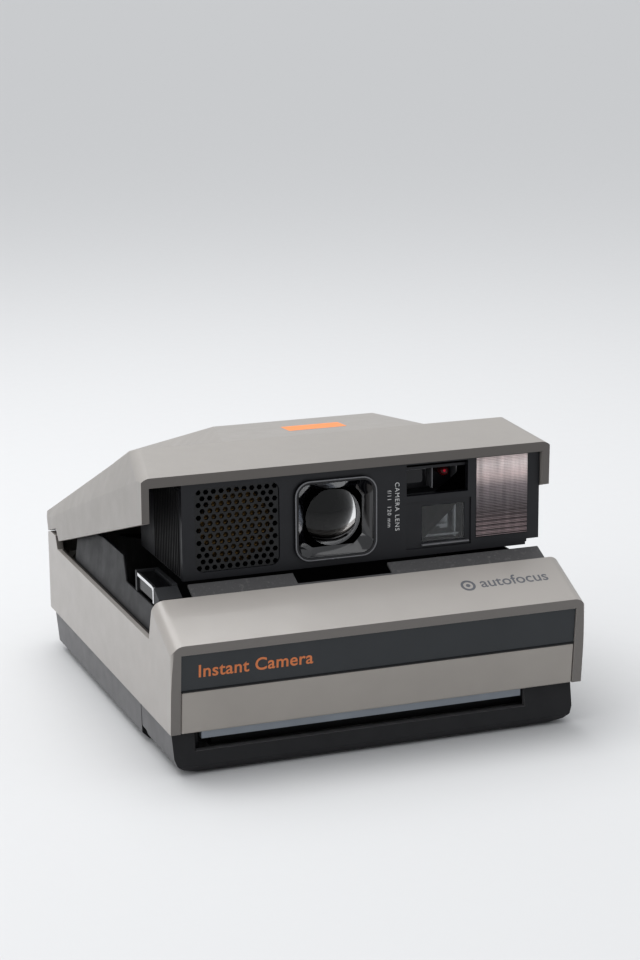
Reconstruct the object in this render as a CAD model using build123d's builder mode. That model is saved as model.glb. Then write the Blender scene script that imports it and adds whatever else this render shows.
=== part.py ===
from build123d import *
import os
from math import atan, cos, pi, radians, sin, sqrt, tan

os.makedirs("parts", exist_ok=True)

# A folding instant camera, standing open. Millimetres, +X to the right seen from the front,
# +Y towards the back, +Z up. The origin is the middle of the footprint, on the table.
# "Depth" is a distance behind the foremost edge of the front rim, and at() turns it into Y.

# Driving dimensions
WIDTH = 146.0
DEPTH = 165.0
HALF = WIDTH / 2
WALL = 2.4
REAR_CORNER = 8.5  # plan radius of the two rear corners

# Lower cover, side outline
RIM_BOTTOM = 15.4
RIM_BOTTOM_DEPTH = 2.9
RIM_TOP = 45.7
SLOPE_END = 20.3
SLOPE_TOP = 55.2
SLOPE = (SLOPE_TOP - RIM_TOP) / SLOPE_END
SIDE_RIM = 41.3
SIDE_RIM_END = 143.8
REAR_RIM = 46.0
REAR_RIM_LOW = 42.8
BAND_BOTTOM = 30.1
BAND_TOP = 42.4
RIM_LEG = 3.4  # width of the rim on each side of the front insert

# Upper cover, side outline when folded down
VISOR_DEPTH, VISOR_TOP = 21.2, 56.0
LEG_DEPTH, LEG_BOTTOM = 25.9, 41.6
BEVEL_END, BEVEL_TOP = 44.3, 67.1
COVER_END, COVER_END_TOP = 163.2, 53.6
COVER_REAR = 164.4
SKIRT_BOTTOM = 46.5
HUMP_RIDGE, HUMP_TOP = 74.4, 74.5
HUMP_END = 152.0
SHOULDER_REAR = (71.5, 149.1, 55.2)  # where shoulder, side and top meet at the back
SHOULDER_FRONT = (68.4, BEVEL_END, BEVEL_TOP)
HUMP_CORNERS = ((30.0, HUMP_RIDGE, HUMP_TOP), (36.8, BEVEL_END, BEVEL_TOP), (45.0, 74.4, 63.7))

# The fold: the upper cover turns about a line near the back
HINGE_DEPTH, HINGE_HEIGHT = 154.0, 47.0
OPEN_ANGLE = 16.7
HINGE_PIN_R = 1.5
RUNNING = 0.05  # radial clearance of pins and shafts that turn

# Optics panel, standing upright in the open camera
PANEL_DEPTH = 31.5
PANEL_T = 2.0
PANEL_LEFT, PANEL_RIGHT = -59.0, 70.1
PANEL_STEP = 65.1
PANEL_BOTTOM, PANEL_END_BOTTOM = 57.4, 59.4
PANEL_TOP = 90.0
LENS_X, LENS_Z = -5.3, 73.7
BEZEL_W, BEZEL_H = 29.5, 27.8
BARREL_R = 12.4
ARM_X, ARM_Z = -17.0, 63.8  # pivot of the focus arm
GRILLE_X, GRILLE_W = -39.8, 29.4
GRILLE_Z, GRILLE_H = 74.0, 28.4
FINDER_X, FINDER_W = 34.3, 15.8
FINDER_Z, FINDER_H = 68.2, 12.8
EYE_X, EYE_W = 31.9, 22.6
EYE_Z, EYE_H = 84.0, 10.8
LED_X, LED_Z = 35.8, 85.5
FLASH_X, FLASH_W = 56.0, 19.4
FLASH_Z, FLASH_H = 75.8, 28.2
HOUSING_FRONT, HOUSING_END = 33.7, 80.0
HOUSING_RIGHT = 66.8
HOUSING_WALL = 1.5

# Dark deck behind the slope
DECK_FRONT, DECK_REAR = 22.8, 30.3
DECK_RISE = tan(radians(24.9))
DECK_TOP_FRONT = 53.3
DECK_T = 1.2
DECK_TRAVEL = 9.7
DECK_RIGHT = 69.3
SLOT_LEFT, SLOT_RIGHT = -61.3, -58.0

# Base and film door
FOOT = 0.8
BASE_HALF_TOP, BASE_HALF_BOTTOM = 71.4, 71.1
BASE_REAR_TOP, BASE_REAR_BOTTOM = 157.0, 153.0
DOOR_SEAM = 42.0
DOOR_HINGE_DEPTH, DOOR_HINGE_HEIGHT = 40.6, 2.5
KNUCKLE_R = 1.6
DOOR_PIN_R = 0.8
BUSH_BORE_R = 2.55
SCREWS = ((-63, 68), (63, 68), (-63, 140), (63, 140))
DOOR_FRONT, DOOR_TOE = 8.0, 5.2  # depths of its front at the top and near the table
EXIT_LOW, EXIT_HIGH = 7.9, 14.4
EXIT_LEFT, EXIT_RIGHT = -63.7, 53.8

# Film
PACK_HALF = 53.5
PACK_FRONT, PACK_REAR = 27.0, 138.0
PACK_LOW, PACK_HIGH = 4.6, 17.6
PRINTS_REAR = 130.0
PICKER_X = 46.6

# Drive
MODULE = 0.8
GEAR_X, GEAR_W = 60.5, 2.4
SHAFT_R = 1.0
ROLLER_DEPTH, ROLLER_R = 17.0, 3.0
ROLLER_LOW_Z, ROLLER_HIGH_Z = 8.6, 15.0
PINION_TEETH, REAR_TEETH, FRONT_TEETH, ROLLER_TEETH = 10, 24, 18, 12
# Each pair of axes is 0.15 mm further apart than the sum of the pitch radii
FRONT_IDLER = (28.76, 11.63)
REAR_IDLER = (45.6, 13.6)
PINION = (56.41, 22.1)
MOTOR_R = 6.0

# Rear control panel
CONTROL_HALF = 42.0
CONTROL_LOW, CONTROL_HIGH = 22.0, 38.0
SWITCHES = {"focus_switch": -6.0, "timer_switch": 4.0, "flash_switch": 14.0}
SLIDER_X = 29.0
SWITCH_Z = 30.0
SWITCH_TRAVEL = 2.5

# Erecting struts
STRUT_PIVOT = (112.0, 33.0)
STRUT_TIP = (103.7, 67.3)
STRUT_X = 64.5
STRUT_T = 1.5
STRUT_PIN_R = 1.2


def at(depth):
    """Y of a point that lies depth behind the front rim."""
    return depth - DEPTH / 2


HINGE = Axis((0, at(HINGE_DEPTH), HINGE_HEIGHT), (1, 0, 0))


def opened(part):
    """Swings a piece of the upper half from the folded pose up to the open pose."""
    return part.rotate(HINGE, -OPEN_ANGLE)


def save(name, part):
    """Labels a finished piece and writes it to its own file."""
    with BuildPart() as piece:
        add(part)
    piece.part.label = name
    export_step(piece.part, f"parts/{name}.step")


def side_face(points, x=0.0):
    """Upright face across the camera at x, bounded by (depth, height) points."""
    with BuildSketch(Plane.YZ.offset(x)) as face:
        with BuildLine():
            Polyline(*[(at(depth), z) for depth, z in points], close=True)
        make_face()
    return face.sketch


def across(points, half=HALF):
    """Solid with the side outline points, from -half to +half."""
    with BuildPart() as bar:
        extrude(side_face(points), amount=half, both=True)
    return bar.part


def slab(points, left, right):
    """Solid with the side outline points, from left to right."""
    with BuildPart() as bar:
        extrude(side_face(points, left), amount=right - left)
    return bar.part


def mirrored(part):
    """The same solid and its twin on the other side."""
    with BuildPart() as pair:
        add(part)
        mirror(about=Plane.YZ)
    return pair.part


def box_between(low, high):
    """Block between two corners given as (x, depth, z)."""
    size = [b - a for a, b in zip(low, high)]
    middle = ((low[0] + high[0]) / 2, at((low[1] + high[1]) / 2), (low[2] + high[2]) / 2)
    with BuildPart() as block:
        with Locations(middle):
            Box(*size)
    return block.part


def front_block(x, z, width, height, depth, thickness, radius=0.0):
    """Block with its front at depth, centred on x and z, its four long edges rounded."""
    with BuildPart() as block:
        with BuildSketch(Plane.XZ.offset(-at(depth))):
            with Locations((x, z)):
                if radius:
                    RectangleRounded(width, height, radius)
                else:
                    Rectangle(width, height)
        extrude(amount=-thickness)
    return block.part


def rod(start, end, radius, bore=0.0):
    """Round bar or tube between two (x, depth, z) points."""
    base = Vector(start[0], at(start[1]), start[2])
    run = Vector(end[0], at(end[1]), end[2]) - base
    with BuildPart() as bar:
        with BuildSketch(Plane(origin=base, z_dir=run)):
            Circle(radius)
            if bore:
                Circle(bore, mode=Mode.SUBTRACT)
        extrude(amount=run.length)
    return bar.part


def plan_blank(inset, front_radius):
    """Block with the camera's plan outline, its rear corners rounded."""
    with BuildPart() as blank:
        with BuildSketch():
            Rectangle(WIDTH - 2 * inset, DEPTH - 2 * inset)
            fillet(vertices().group_by(Axis.Y)[-1], REAR_CORNER - inset)
            if front_radius:
                fillet(vertices().group_by(Axis.Y)[0], front_radius)
        extrude(amount=130)
    return blank.part


def cavity(points, inset):
    """Hollow with the plan outline inset by a wall, cut to a side outline."""
    with BuildPart() as hollow:
        add(plan_blank(inset, 0))
        extrude(side_face(points), amount=HALF, both=True, mode=Mode.INTERSECT)
    return hollow.part


def through_three(corners, inset=0.0):
    """Plane through three (x, depth, z) points, facing right, moved inwards by inset."""
    a, b, c = [Vector(x, at(depth), z) for x, depth, z in corners]
    normal = (b - a).cross(c - a).normalized()
    if normal.X < 0:
        normal = -normal
    return Plane(origin=a - normal * inset, z_dir=normal)


def trimmed(part, plane):
    """Keeps what lies behind a plane and behind its mirror image."""
    twin = Plane(
        origin=(-plane.origin.X, plane.origin.Y, plane.origin.Z),
        z_dir=(-plane.z_dir.X, plane.z_dir.Y, plane.z_dir.Z),
    )
    with BuildPart() as kept:
        add(part)
        split(bisect_by=plane, keep=Keep.BOTTOM)
        split(bisect_by=twin, keep=Keep.BOTTOM)
    return kept.part


def rim_front(z):
    """Depth of the leaning front face at height z."""
    return RIM_BOTTOM_DEPTH * (RIM_TOP - z) / (RIM_TOP - RIM_BOTTOM)


def deck_top(depth):
    """Height of the deck's top face."""
    return DECK_TOP_FRONT + (depth - DECK_FRONT) * DECK_RISE


# ---------------------------------------------------------------- lower half


def make_lower_cover():
    underside = RIM_TOP - WALL / cos(atan(SLOPE))
    outline = [
        (RIM_BOTTOM_DEPTH, RIM_BOTTOM),
        (0.0, RIM_TOP),
        (SLOPE_END + 0.2, SLOPE_TOP + 0.2 * SLOPE),
        (LEG_DEPTH - 0.7, SIDE_RIM),
        (SIDE_RIM_END, SIDE_RIM),
        (SIDE_RIM_END + 2.6, REAR_RIM),
        (HINGE_DEPTH, REAR_RIM),
        (DEPTH, REAR_RIM_LOW),
        (DEPTH, 21.0),
        (DEPTH - 6.0, RIM_BOTTOM),
    ]
    void = cavity(
        [
            (5.4, 5.0),
            (2.6, underside + 2.6 * SLOPE),
            (24.0, underside + 24.0 * SLOPE),
            (24.0, 80.0),
            (DEPTH - WALL, 80.0),
            (DEPTH - WALL, 5.0),
        ],
        WALL,
    )
    inside_rim = HALF - RIM_LEG
    web = [
        (HINGE_DEPTH - 3.4, HINGE_HEIGHT),
        (HINGE_DEPTH + 3.4, HINGE_HEIGHT),
        (DEPTH - 2.2, 41.5),
        (DEPTH - 2.2, 32.0),
        (HINGE_DEPTH - 2.0, 38.0),
    ]
    depth, z = STRUT_PIVOT
    with BuildPart() as cover:
        add(across(outline))
        slope_sides = edges().filter_by(
            lambda e: abs(e.center().X) > HALF - 1
            and e.length > 15
            and RIM_TOP < e.center().Z < SLOPE_TOP
            and abs(e.center().Y - at(SLOPE_END / 2)) < 2
        )
        fillet(slope_sides, 4.2)
        add(plan_blank(0, 2.0), mode=Mode.INTERSECT)
        add(void, mode=Mode.SUBTRACT)
        add(box_between((-inside_rim, -1, 5), (inside_rim, 6, BAND_TOP)), mode=Mode.SUBTRACT)
        add(
            box_between(
                (-CONTROL_HALF, DEPTH - 4, CONTROL_LOW), (CONTROL_HALF, DEPTH + 1, CONTROL_HIGH)
            ),
            mode=Mode.SUBTRACT,
        )
        add(box_between((HALF - 4, 27, 17.1), (HALF + 1, 41, 22.1)), mode=Mode.SUBTRACT)
        add(box_between((HALF - 4, 120, 27), (HALF + 1, 134, 32)), mode=Mode.SUBTRACT)
        add(mirrored(slab(web, 63.0, 66.0)))
        add(mirrored(rod((63, HINGE_DEPTH, HINGE_HEIGHT), (66, HINGE_DEPTH, HINGE_HEIGHT), 3.4)))
        add(
            rod((-67, HINGE_DEPTH, HINGE_HEIGHT), (67, HINGE_DEPTH, HINGE_HEIGHT), HINGE_PIN_R),
            mode=Mode.SUBTRACT,
        )
        add(mirrored(rod((66.4, depth, z), (HALF - WALL + 0.5, depth, z), 2.6)))
    save("lower_cover", cover.part)


def make_front_band():
    """Dark insert across the front, with a flange behind the rim's legs."""
    half = HALF - RIM_LEG - 0.15
    low, high = BAND_BOTTOM, BAND_TOP - 0.15
    face = [
        (rim_front(low) + 0.6, low),
        (rim_front(high) + 0.6, high),
        (4.4, high),
        (4.4, low),
    ]
    with BuildPart() as band:
        add(across(face, half))
        add(across([(4.3, 31.0), (4.3, 43.2), (5.6, 43.2), (5.6, 31.0)], HALF - WALL - 0.2))
    save("front_band", band.part)


def cross_wall():
    """Cross wall behind the front that carries the deck, the shutter block and the band."""
    wall = [(19.4, 31.0), (21.2, 31.0), (21.2, 49.7), (19.4, 49.7)]
    shelf = [(5.7, 31.0), (21.2, 31.0), (21.2, 32.6), (5.7, 32.6)]
    with BuildPart() as chassis:
        add(across(wall, HALF - WALL - 0.2))
        add(across(shelf, HALF - WALL - 0.2))
    return chassis.part


def make_front_chassis():
    """The cross wall with the shutter button's housing on its left end."""
    left, right = -69.3, SLOT_LEFT
    front = [
        (19.4, 49.8),
        (19.4, 50.4),
        (24.7, 52.3),
        (24.7, deck_top(24.7)),
        (DECK_REAR, deck_top(DECK_REAR)),
        (DECK_REAR, 46.0),
        (25.6, 46.0),
        (25.6, 49.8),
    ]
    with BuildPart() as block:
        add(slab(front, left, right))
        add(box_between((left, DECK_REAR, 46.0), (right, 52.0, 47.5)))
        add(box_between((right - 1.6, DECK_REAR, 46.0), (right, 52.0, 57.4)))
        add(box_between((left, 50.4, 46.0), (right, 52.0, 57.4)))
        add(box_between((left - 1, 18.0, 45.0), (-67.9, 53.0, 50.3)), mode=Mode.SUBTRACT)
        add(rod((-65.9, 40.0, 45.0), (-65.9, 40.0, 48.0), 1.5 + RUNNING), mode=Mode.SUBTRACT)
        add(cross_wall())
    save("front_chassis", block.part)


def make_shutter_button():
    cap = [(31.0, 51.1), (31.0, 56.6), (33.5, 57.0), (49.6, 57.0), (49.6, 51.1)]
    with BuildPart() as button:
        add(slab(cap, -68.7, -63.4))
        add(rod((-65.9, 40.0, 46.5), (-65.9, 40.0, 51.6), 1.5))
    save("shutter_button", button.part)
    trim = [
        (31.0, 51.1),
        (31.0, 56.6),
        (33.5, 57.0),
        (49.6, 57.0),
        (49.6, 55.8),
        (33.0, 55.8),
        (32.2, 55.2),
        (32.2, 51.1),
    ]
    with BuildPart() as edge:
        add(slab(trim, -69.3, -68.7))
    save("button_trim", edge.part)


def make_deck_cover():
    """Dark cover that fills the gap below the optics and slides under the slope."""
    plate = [
        (DECK_FRONT, deck_top(DECK_FRONT)),
        (DECK_REAR, deck_top(DECK_REAR)),
        (DECK_REAR, deck_top(DECK_REAR) - DECK_T),
        (DECK_FRONT, deck_top(DECK_FRONT) - DECK_T),
    ]
    with BuildPart() as deck:
        add(slab(plate, SLOT_RIGHT + 0.1, DECK_RIGHT))
        add(box_between((-21.0, 25.4, 48.0), (12.8, 32.0, 60.0)), mode=Mode.SUBTRACT)
    save("deck_cover", deck.part)


def make_side_liners():
    """Inner walls that close the side openings: upright below, leaning inwards above."""
    section = [
        (-70.3, 36.0),
        (-69.5, 36.0),
        (-69.5, 42.0),
        (-67.3, 58.0),
        (-68.1, 58.0),
        (-70.3, 42.0),
    ]
    outline = [
        (27.5, 35.9),
        (27.5, 50.0),
        (64.0, 50.0),
        (70.5, 57.6),
        (95.0, 57.6),
        (128.0, 54.0),
        (128.0, 35.9),
    ]
    with BuildPart() as liner:
        with BuildSketch(Plane.XZ.offset(-at(27.5))):
            with BuildLine():
                Polyline(*section, close=True)
            make_face()
        extrude(amount=-100.5)
        add(across(outline), mode=Mode.INTERSECT)
    with BuildPart() as liners:
        add(mirrored(liner.part))
        add(box_between((60, 27, 35), (HALF, 35, 60)), mode=Mode.SUBTRACT)
    save("side_liners", liners.part)


def make_base_shell():
    """Dark tray under the rear of the camera, its sides leaning in towards the table."""
    section = [
        (-BASE_HALF_BOTTOM + 2.5, FOOT),
        (-BASE_HALF_BOTTOM, FOOT + 2.5),
        (-BASE_HALF_TOP, RIM_BOTTOM - 0.1),
        (BASE_HALF_TOP, RIM_BOTTOM - 0.1),
        (BASE_HALF_BOTTOM, FOOT + 2.5),
        (BASE_HALF_BOTTOM - 2.5, FOOT),
    ]
    side = [
        (DOOR_SEAM + 0.4, FOOT),
        (DOOR_SEAM + 0.4, RIM_BOTTOM - 0.1),
        (BASE_REAR_TOP, RIM_BOTTOM - 0.1),
        (BASE_REAR_BOTTOM, FOOT + 2.5),
        (BASE_REAR_BOTTOM - 2.5, FOOT),
    ]
    hollow = [(DOOR_SEAM - 1, 2.8), (DOOR_SEAM - 1, 30), (BASE_REAR_TOP - 2.4, 30), (151, 2.8)]
    with BuildPart() as base:
        with BuildSketch(Plane.XZ.offset(-at(DOOR_SEAM))):
            with BuildLine():
                Polyline(*section, close=True)
            make_face()
        extrude(amount=-(BASE_REAR_TOP - DOOR_SEAM))
        add(across(side), mode=Mode.INTERSECT)
        add(across(hollow, BASE_HALF_BOTTOM - 2.4), mode=Mode.SUBTRACT)
        for x in (-30.0, 26.0):
            add(box_between((x, DOOR_HINGE_DEPTH, FOOT + 0.2), (x + 4, DOOR_SEAM + 2, 3.6)))
            add(
                rod(
                    (x, DOOR_HINGE_DEPTH, DOOR_HINGE_HEIGHT),
                    (x + 4, DOOR_HINGE_DEPTH, DOOR_HINGE_HEIGHT),
                    KNUCKLE_R,
                )
            )
        add(
            rod(
                (-31, DOOR_HINGE_DEPTH, DOOR_HINGE_HEIGHT),
                (31, DOOR_HINGE_DEPTH, DOOR_HINGE_HEIGHT),
                DOOR_PIN_R,
            ),
            mode=Mode.SUBTRACT,
        )
        add(
            mirrored(
                rod(
                    (11.6, DOOR_HINGE_DEPTH, DOOR_HINGE_HEIGHT),
                    (25.9, DOOR_HINGE_DEPTH, DOOR_HINGE_HEIGHT),
                    KNUCKLE_R + 0.5,
                )
            ),
            mode=Mode.SUBTRACT,
        )
        add(rod((0, 96.0, FOOT - 1), (0, 96.0, 4), 5.0), mode=Mode.SUBTRACT)
        for x, depth in SCREWS:
            add(rod((x, depth, FOOT - 1), (x, depth, FOOT + 0.8), 2.6), mode=Mode.SUBTRACT)
            add(rod((x, depth, 2.7), (x, depth, 9.0), 3.2))
            add(rod((x, depth, FOOT), (x, depth, 9.5), 1.25), mode=Mode.SUBTRACT)
    save("base_shell", base.part)


def make_base_fittings():
    with BuildPart() as bush:
        add(rod((0, 96.0, FOOT + 0.1), (0, 96.0, 4.2), 5.0, BUSH_BORE_R))
    save("tripod_bush", bush.part)
    with BuildPart() as feet:
        for x, depth in ((-50, 52), (50, 52), (-50, 146), (50, 146)):
            add(rod((x, depth, 0.0), (x, depth, FOOT), 4.0))
    save("feet", feet.part)
    with BuildPart() as screws:
        for x, depth in SCREWS:
            add(rod((x, depth, FOOT + 0.1), (x, depth, FOOT + 0.8), 2.4))
            add(rod((x, depth, FOOT + 0.7), (x, depth, 8.5), 1.2))
            add(
                box_between((x - 1.8, depth - 0.25, 0.5), (x + 1.8, depth + 0.25, 1.2)),
                mode=Mode.SUBTRACT,
            )
            add(
                box_between((x - 0.25, depth - 1.8, 0.5), (x + 0.25, depth + 1.8, 1.2)),
                mode=Mode.SUBTRACT,
            )
    save("base_screws", screws.part)


def make_film_frame():
    """Frame over the film: an open window, two side walls and a rear wall."""
    with BuildPart() as frame:
        add(box_between((-58.0, 48.0, 22.8), (58.0, 143.0, 25.3)))
        add(box_between((-46.0, 56.0, 22.0), (46.0, 134.0, 26.0)), mode=Mode.SUBTRACT)
        add(mirrored(box_between((56.2, 48.0, 3.0), (58.0, 143.0, 22.8))))
        add(box_between((-58.0, 141.2, 3.0), (58.0, 143.0, 22.8)))
    save("film_frame", frame.part)


def make_film_pack():
    """Thin plastic cartridge with a window on top and a slot at the front."""
    low, high = PACK_LOW, PACK_HIGH
    with BuildPart() as pack:
        add(box_between((-PACK_HALF, PACK_FRONT, low), (PACK_HALF, PACK_REAR, high)))
        add(
            box_between(
                (-PACK_HALF + 1.2, PACK_FRONT + 1.2, low + 1.2),
                (PACK_HALF - 1.2, PACK_REAR - 1.2, high - 1.2),
            ),
            mode=Mode.SUBTRACT,
        )
        add(box_between((-46, 52, high - 2), (46, 130, high + 1)), mode=Mode.SUBTRACT)
        add(box_between((-51, 26, high - 2.9), (51, 30, high - 1.2)), mode=Mode.SUBTRACT)
        add(
            box_between(
                (PICKER_X - 2.6, PRINTS_REAR - 2, high - 4), (PICKER_X + 2.6, 139, high + 1)
            ),
            mode=Mode.SUBTRACT,
        )
    save("film_pack", pack.part)
    with BuildPart() as prints:
        add(box_between((-51.2, 28.6, high - 6.4), (51.2, PRINTS_REAR, high - 1.4)))
    save("film_prints", prints.part)


def make_bellows():
    """Rubber boot from the optics housing down to the film frame, open at both ends."""
    outer = [(81.0, 57.6), (141.0, 45.0), (141.0, 25.6), (62.0, 25.6), (66.0, 30.0)]
    inner = [(82.2, 60.0), (139.8, 50.0), (139.8, 20.0), (63.5, 20.0), (67.2, 29.6)]
    with BuildPart() as bellows:
        add(across(outer, 50.0))
        add(across(inner, 48.8), mode=Mode.SUBTRACT)
    save("bellows", bellows.part)


def make_gear_bracket():
    """Bracket on the film frame's right wall that holds the two idler axles."""
    (front, low), (rear, high) = FRONT_IDLER, REAR_IDLER
    arm = [
        (front - 3, low - 3),
        (front - 3, low + 3),
        (rear, high + 5),
        (rear + 10, high + 5),
        (rear + 10, high - 5),
        (rear, high - 5),
    ]
    with BuildPart() as bracket:
        add(slab(arm, 58.0, 59.8))
        for depth, z in (FRONT_IDLER, REAR_IDLER):
            add(rod((59.0, depth, z), (GEAR_X + GEAR_W + 1.2, depth, z), SHAFT_R))
    save("gear_bracket", bracket.part)


# ---------------------------------------------------------------- film drive


def gear_face(teeth):
    """Spur gear profile with true involute flanks and one tooth pointing along +X."""
    pitch = MODULE * teeth / 2
    base = pitch * cos(radians(20))
    root = pitch - 1.2 * MODULE
    tip = pitch + 0.9 * MODULE
    thin = 0.06 / pitch
    involute = tan(radians(20)) - radians(20)
    half_angle = pi / (2 * teeth) + involute - thin
    flank = []
    for step in range(5):
        radius = max(root, base) + (tip - max(root, base)) * step / 4
        roll = sqrt(max((radius / base) ** 2 - 1, 0))
        angle = half_angle - (roll - atan(roll))
        flank.append((radius, angle))
    if root < base:
        flank.insert(0, (root, flank[0][1]))
    points = []
    for tooth in range(teeth):
        middle = 2 * pi * tooth / teeth
        rising = [(r, middle - a) for r, a in flank]
        falling = [(r, middle + a) for r, a in reversed(flank)]
        points += [(r * cos(a), r * sin(a)) for r, a in rising + falling]
    with BuildSketch() as face:
        with BuildLine():
            Polyline(*points, close=True)
        make_face()
    return face.sketch


def gear(teeth, centre, phase, bore):
    """Gear with its axis across the camera, turned by phase degrees about +X."""
    depth, z = centre
    plane = Plane(
        origin=(GEAR_X, at(depth), z),
        x_dir=(0, cos(radians(phase)), sin(radians(phase))),
        z_dir=(1, 0, 0),
    )
    with BuildPart() as wheel:
        with BuildSketch(plane):
            add(gear_face(teeth))
            Circle(bore, mode=Mode.SUBTRACT)
        extrude(amount=GEAR_W)
    return wheel.part


def bearing_of(start, end):
    """Direction from one (depth, z) point to another, in degrees from +Y."""
    return degrees_of(end[0] - start[0], end[1] - start[1])


def degrees_of(run, rise):
    """Angle of a (run, rise) step in degrees, from 0 to 360."""
    return Vector(1, 0, 0).get_signed_angle(Vector(run, rise, 0), Vector(0, 0, 1)) % 360


def meshed_phase(teeth, centre, driver_teeth, driver_centre, driver_phase):
    """Phase that puts a gap of this gear where the driver has a tooth, on their line."""
    line = bearing_of(driver_centre, centre)
    into_tooth = (line - driver_phase) * driver_teeth / 360
    return line + 180 - (0.5 - into_tooth) * 360 / teeth


def front_phase():
    """Phase of the front idler, with the rear idler at zero."""
    return meshed_phase(FRONT_TEETH, FRONT_IDLER, REAR_TEETH, REAR_IDLER, 0.0)


def roller_phase():
    """Phase of the gear on the lower roller."""
    roller = (ROLLER_DEPTH, ROLLER_LOW_Z)
    return meshed_phase(ROLLER_TEETH, roller, FRONT_TEETH, FRONT_IDLER, front_phase())


def make_gears():
    save("rear_idler", gear(REAR_TEETH, REAR_IDLER, 0.0, SHAFT_R + RUNNING))
    save("front_idler", gear(FRONT_TEETH, FRONT_IDLER, front_phase(), SHAFT_R + RUNNING))
    phase = meshed_phase(PINION_TEETH, PINION, REAR_TEETH, REAR_IDLER, 0.0)
    with BuildPart() as pinion:
        add(gear(PINION_TEETH, PINION, phase, 0.75))
        add(rod((GEAR_X, *PINION), (GEAR_X + 4.3, *PINION), 0.75))
    save("motor_pinion", pinion.part)


def make_motor():
    """Flat motor can on a foot plate, its shaft bore facing the gears."""
    depth, z = PINION
    with BuildPart() as motor:
        add(rod((GEAR_X + 3.6, depth, z), (68.6, depth, z), MOTOR_R))
        add(box_between((68.6, depth - 6.5, z - 6.5), (69.2, depth + 6.5, z + 6.5)))
        add(
            rod((GEAR_X + 3.0, depth, z), (GEAR_X + 5.5, depth, z), 0.75 + RUNNING),
            mode=Mode.SUBTRACT,
        )
    save("motor", motor.part)


def make_rollers():
    low, high = ROLLER_LOW_Z, ROLLER_HIGH_Z
    with BuildPart() as lower:
        add(rod((-63.9, ROLLER_DEPTH, low), (63.1, ROLLER_DEPTH, low), 1.5))
        add(rod((-56.0, ROLLER_DEPTH, low), (58.4, ROLLER_DEPTH, low), ROLLER_R))
        add(gear(ROLLER_TEETH, (ROLLER_DEPTH, low), roller_phase(), 1.0))
    save("lower_roller", lower.part)
    with BuildPart() as upper:
        add(rod((-63.9, ROLLER_DEPTH, high), (60.2, ROLLER_DEPTH, high), 1.5))
        add(rod((-56.0, ROLLER_DEPTH, high), (58.4, ROLLER_DEPTH, high), ROLLER_R))
    save("upper_roller", upper.part)


# ---------------------------------------------------------------- film door


def make_door_panel():
    """Light front of the film door, below the band, with a shelf that hooks it to the door."""
    half = HALF - RIM_LEG - 0.25
    low, high = RIM_BOTTOM, BAND_BOTTOM - 0.5
    face = [
        (rim_front(low) + 0.1, low),
        (rim_front(high) + 0.1, high),
        (rim_front(high) + 2.3, high),
        (rim_front(low) + 2.3, low),
    ]
    shelf = [(4.5, low), (4.5, low + 1.4), (7.9, low + 1.4), (7.9, low)]
    with BuildPart() as panel:
        add(across(face, half))
        add(across(shelf, half - 3))
    save("door_panel", panel.part)


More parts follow.
